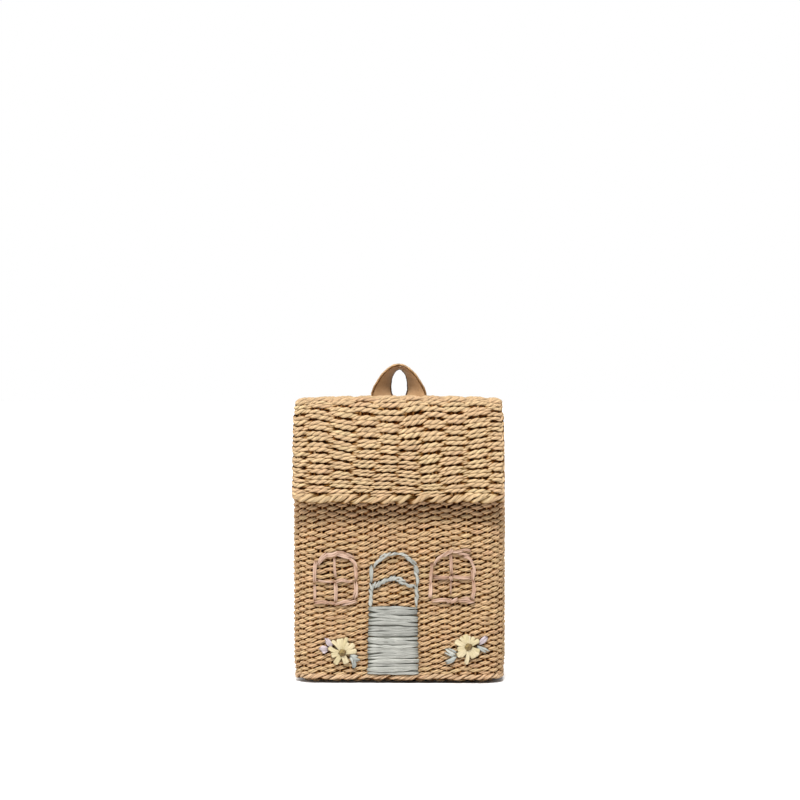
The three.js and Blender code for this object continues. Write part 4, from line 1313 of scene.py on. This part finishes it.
def make_loop():
    """Grab loop: each leg lies flat on the back, and turns edge-on on its way up to the crown."""
    rows = []
    for hand, legs in ((-1, LOOP_LEG), (1, [LOOP_CROWN, *LOOP_LEG[::-1]])):
        rows += [(hand * x, behind_back(x, z, behind), z, twist) for z, x, behind, twist in legs]
    rows = np.array(rows)
    twist = np.radians(rows[:, 3])
    lift = math.sin(math.radians(LOOP_TILT)) * np.cos(twist) ** LOOP_TILT_FADE
    breadth = np.stack([np.sign(rows[:, 0]) * np.sin(twist), -np.cos(twist), lift], axis=1)
    path = rows[:, :3] + (LOOP_SHIFT, 0, 0)
    make_tape("grab_loop", "handle_loop", path, breadth, LOOP_PAINTED_LIGHT, LOOP_EDGE_TINTS)


def make_strap(side, hand):
    """Strap on a smooth curve through the places of its route."""
    z, x, behind = STRAP_ROUTE.T
    knots = np.stack([hand * x, behind_back(x, z, behind), z], axis=1)
    padded = np.concatenate([2 * knots[:1] - knots[1:2], knots, 2 * knots[-1:] - knots[-2:-1]])
    path = []
    for k in range(len(knots) - 1):
        before, start, end, after = padded[k:k + 4]
        for t in np.linspace(0, 1, STRAP_STEPS, endpoint=False):
            path.append(0.5 * (
                2 * start + (end - before) * t
                + (2 * before - 5 * start + 4 * end - after) * t ** 2
                + (3 * start - before - 3 * end + after) * t ** 3
            ))
    path = np.array(path + [knots[-1]])
    breadth = unit(np.cross((0.0, 1.0, 0.0), np.gradient(path, axis=0)))
    name = f"shoulder_strap_{side}"
    make_tape(name, name, path, breadth, STRAP_PAINTED_LIGHT, STRAP_EDGE_TINTS)


# Embroidery

def on_front(x, z, lift):
    """Points on the front wall, some way out of it."""
    return np.stack([x, -wall_distance(x, z) - EMBROIDERY_GAP - lift, z], axis=-1)


def stitch(line, width, thickness, lift, blunt, rings=STITCH_RINGS, sunk=0.0):
    """One raffia stitch along a line in front view: it comes up out of the weave and goes back."""
    line = np.asarray(line, float)
    along = lengths(line)
    t = np.linspace(0, 1, rings)
    x, z = (np.interp(t * along[-1], along, column) for column in line.T)
    arch = np.sin(math.pi * np.clip(t, STITCH_TIP, 1 - STITCH_TIP)) ** blunt
    rise = lift * arch - (1 - arch) + wander(rings, *STITCH_RISE)
    breadth = width / 2 * arch * (1 + wander(rings, *STITCH_UNEVEN))
    thin = STITCH_TIP_THICKNESS + (1 - STITCH_TIP_THICKNESS) * arch
    size = np.stack([thickness * thin, breadth], axis=1)
    below = thickness + sunk + STITCH_TIP_SHADE * (1 - arch)
    twist = wander(rings, *STITCH_TWIST)
    tint = chance.uniform(0, 1)
    return strand(on_front(x, z, rise), FRONT, RAFFIA, size, twist, depth=below, tint=tint)


def rounded(points):
    """Smooth line through a few places in front view."""
    points = np.asarray(points, float)
    along = lengths(points)
    steps = max(int(along[-1] / LINE_SPACING), LINE_LEAST_STEPS)
    at = np.linspace(0, along[-1], steps + 1)
    slope = np.gradient(points, along, axis=0)
    step = np.clip(np.searchsorted(along, at, side="right") - 1, 0, len(points) - 2)
    span = (along[step + 1] - along[step])[:, None]
    t = ((at - along[step]) / span[:, 0])[:, None]
    start, end = points[step], points[step + 1]
    leave, arrive = slope[step] * span, slope[step + 1] * span
    ease = t * t * (3 - 2 * t)
    return start + (end - start) * ease + leave * t * (1 - t) ** 2 - arrive * t * t * (1 - t)


def beside(line, shift):
    """A line in front view, moved sideways."""
    ahead = unit(np.gradient(line, axis=0))
    return line + shift * np.stack([-ahead[:, 1], ahead[:, 0]], axis=1)


def laid(row, grow=1.0, shift=0.0, middle=(0, 0)):
    """One stitch of the tables, which lies a little over or under its neighbours."""
    width, *places = row
    line = beside(rounded(np.reshape(places, (-1, 2)) + middle), shift)
    lift = STRIP_LIFT + chance.uniform(*STRIP_LIFT_SPREAD)
    return stitch(line, grow * width, STRIP_THICKNESS, lift, STRIP_BLUNTNESS)


def split(row):
    """A stitch that has split into two strips lying side by side."""
    shifts = row[0] * np.array([-SPLIT_SHIFT, SPLIT_SHIFT]) + chance.normal(0, SPLIT_SPREAD, 2)
    return [laid(row, SPLIT_SHARE, shift) for shift in shifts]


def make_door():
    """Satin stitches of the panel, and the lines of the arch and of the fanlight inside it."""
    strips = []
    pitch = (DOOR_HEAD - DOOR_FOOT) / DOOR_STRIPS
    across = np.linspace(-1, 1, DOOR_LINE_POINTS)
    for row in range(DOOR_STRIPS):
        share = (row + 0.5) / DOOR_STRIPS
        z = DOOR_FOOT + (row + 0.5) * pitch
        half = DOOR_FOOT_HALF + share * (DOOR_HEAD_HALF - DOOR_FOOT_HALF)
        x = DOOR_CENTRE + DOOR_BED_SHARE * across * half
        strips.append(stitch(
            np.stack([x, np.full(DOOR_LINE_POINTS, z)], axis=1), DOOR_BED_WIDTH * pitch,
            DOOR_BED_THICKNESS, DOOR_BED_LIFT, DOOR_BLUNTNESS, sunk=DOOR_BED_DEPTH,
        ))
        x = DOOR_CENTRE + across * half + chance.normal(0, DOOR_STRIP_SHIFT)
        bow = chance.normal(0, DOOR_STRIP_RISE) + chance.normal(0, DOOR_STRIP_SLANT) * across
        bow = bow + wander(DOOR_LINE_POINTS, *DOOR_STRIP_BEND)
        bow = bow * min(row, DOOR_STRIPS - 1 - row, 1)
        width = pitch * chance.uniform(*DOOR_STRIP_WIDTHS)
        lift = DOOR_STRIP_LIFT + chance.uniform(0, DOOR_STRIP_LIFT_SPREAD)
        strips.append(stitch(
            np.stack([x, z + bow], axis=1), width,
            STRIP_THICKNESS, lift, DOOR_BLUNTNESS, DOOR_STRIP_RINGS,
        ))
    make_piece("door_satin_stitches", strips, raffia["grey_green"], "door_raffia", "door_panel")
    for part, rows in (("door_arch", DOOR_ARCH), ("door_fanlight", DOOR_FANLIGHT)):
        line = [laid(row, DOOR_LINE_FULLNESS) for row in rows]
        make_piece(f"{part}_stitches", line, raffia["grey_green"], "door_raffia", part)


def make_window(side):
    """Arched frame of a window with its cross."""
    strands = [strip for row in WINDOWS[side] for strip in split(row)]
    name = f"window_{side}"
    make_piece(f"{name}_stitches", strands, raffia["pink"], "pink_raffia", name)


def petal(x, z, degrees, reach, width):
    """One flat petal strip, cut blunt at its tip."""
    angle = math.radians(degrees)
    t = np.linspace(0, 1, PETAL_RINGS)
    radius = PETAL_ROOT + (reach - PETAL_ROOT) * t
    angle = angle + math.radians(chance.normal(0, PETAL_BEND)) * t ** 2
    lift = PETAL_LIFT - PETAL_DROOP * t ** 3
    path = on_front(x + radius * np.cos(angle), z + radius * np.sin(angle), lift)
    tip = np.clip((1 - t) / PETAL_TIP, PETAL_TIP_SHARE, 1)
    swell = (PETAL_ROOT_SHARE + (1 - PETAL_ROOT_SHARE) * np.sqrt(t)) * tip ** 0.5
    size = np.stack([PETAL_THICKNESS * tip, PETAL_FULLNESS * width / 2 * swell], axis=1)
    below = PETAL_THICKNESS + PETAL_ROOT_SHADE * (1 - t) ** 2 + chance.uniform(0, PETAL_SHADE_SPREAD)
    return strand(path, FRONT, RAFFIA, size, depth=below, tint=chance.uniform(0, 1))


def make_flower(side, offset_x, z):
    """Petals, the coiled knot in their middle, and the leaves beside them."""
    x = EMBROIDERY_CENTRE + offset_x
    petals = [petal(x, z, *values) for values in PETALS[side]]
    name = f"flower_{side}"
    make_piece(f"{name}_petals", petals, raffia["pale_yellow"], "petal_raffia", name)

    turns = np.linspace(0, KNOT_TURNS * TWO_PI, KNOT_RINGS)
    radius = np.linspace(KNOT_RADIUS - KNOT_CORD_RADIUS, KNOT_MIDDLE, KNOT_RINGS)
    lift = np.linspace(*KNOT_LIFT, KNOT_RINGS)
    path = on_front(x + radius * np.cos(turns), z + radius * np.sin(turns), lift)
    size = np.full(KNOT_RINGS, KNOT_CORD_RADIUS)
    tint = np.clip(MIDDLE_TINT + wander(KNOT_RINGS, *KNOT_TINT), 0, 1)
    coil = strand(path, FRONT, KNOT_CORD, size, KNOT_TWIST * turns, tint=tint)
    knot = f"flower_knot_{side}"
    make_piece(f"{name}_knot", [coil], raffia["olive_brown"], "knot_raffia", knot)

    for number, (dye, rows) in enumerate(LEAVES[side], 1):
        strands = [laid(row, LEAF_FULLNESS, middle=(x, z)) for row in rows]
        name = f"leaf_{side}_{number}"
        make_piece(f"{name}_stitches", strands, raffia[dye], f"{dye}_raffia", name)


make_body_weft()
make_body_stakes()
make_body_rim()
make_body_floor()
make_base_braid()
make_flap_weft()
make_flap_stakes()
make_hem_braid()
make_loop()
make_strap("left", -1)
make_strap("right", 1)
make_door()
for side in WINDOWS:
    make_window(side)
for side, values in FLOWERS.items():
    make_flower(side, *values)


# Floor, light and camera

# Painted studio floor: even matt white with barely visible unevenness
floor_paint, tree, shader = new_material("matt_white_studio_paint")
place = put(tree, "TexCoord", {}, {})
cloud = put(tree, "TexNoise", {}, {"Vector": place.outputs["Object"], "Scale": 3.0, "Detail": 2.0})
paint = put(
    tree, "Mix", {"data_type": "RGBA"},
    {0: cloud.outputs["Fac"], 6: colour("#f4f4f4"), 7: colour("#f8f8f8")},
)
tree.links.new(paint.outputs[2], shader.inputs["Base Color"])
shader.inputs["Roughness"].default_value = 0.9
shader.inputs["Specular IOR Level"].default_value = 0.1

grid = bmesh.new()
bmesh.ops.create_grid(grid, x_segments=1, y_segments=1, size=FLOOR_SIZE / 2)
floor_mesh = bpy.data.meshes.new("studio_floor")
grid.to_mesh(floor_mesh)
grid.free()
floor_mesh.materials.append(floor_paint)
floor = bpy.data.objects.new("studio_floor", floor_mesh)
bpy.context.scene.collection.objects.link(floor)

room = bpy.data.worlds.new("white_room")
room.use_nodes = True
# The walls show as plain white, and light the bag only softly
tree = room.node_tree
glow = tree.nodes["Background"]
glow.inputs["Color"].default_value = (1, 1, 1, 1)
glow.inputs["Strength"].default_value = ROOM_GLOW
walls = put(tree, "Background", {}, {"Color": (1, 1, 1, 1), "Strength": 1.0})
ray = put(tree, "LightPath", {}, {})
seen = put(
    tree, "MixShader", {},
    {0: ray.outputs["Is Camera Ray"], 1: glow.outputs[0], 2: walls.outputs[0]},
)
tree.links.new(seen.outputs[0], tree.nodes["World Output"].inputs["Surface"])
bpy.context.scene.world = room


def direction(azimuth, elevation):
    """Unit vector from the object towards a place round it; azimuth 0 is in front."""
    turn, height = math.radians(azimuth), math.radians(elevation)
    level = math.cos(height)
    return Vector((math.sin(turn) * level, -math.cos(turn) * level, math.sin(height)))


for name, (strength, spread, azimuth, elevation) in LAMPS.items():
    lamp_light = bpy.data.lights.new(name, "SUN")
    lamp_light.energy = strength
    lamp_light.angle = math.radians(spread)
    lamp = bpy.data.objects.new(name, lamp_light)
    lamp.rotation_euler = direction(azimuth, elevation).to_track_quat("Z", "Y").to_euler()
    bpy.context.scene.collection.objects.link(lamp)

camera_lens = bpy.data.cameras.new("camera")
camera_lens.sensor_fit = "HORIZONTAL"
camera_lens.angle = 2 * math.atan(PICTURE_WIDTH / 2 / CAMERA_DISTANCE)
camera = bpy.data.objects.new("camera", camera_lens)
back = direction(CAMERA_AZIMUTH, CAMERA_ELEVATION)
camera.location = (Vector(CAMERA_AIM) + back * CAMERA_DISTANCE) * MM
camera.rotation_euler = back.to_track_quat("Z", "Y").to_euler()
bpy.context.scene.collection.objects.link(camera)
bpy.context.scene.camera = camera
bpy.context.scene.view_settings.view_transform = "Standard"
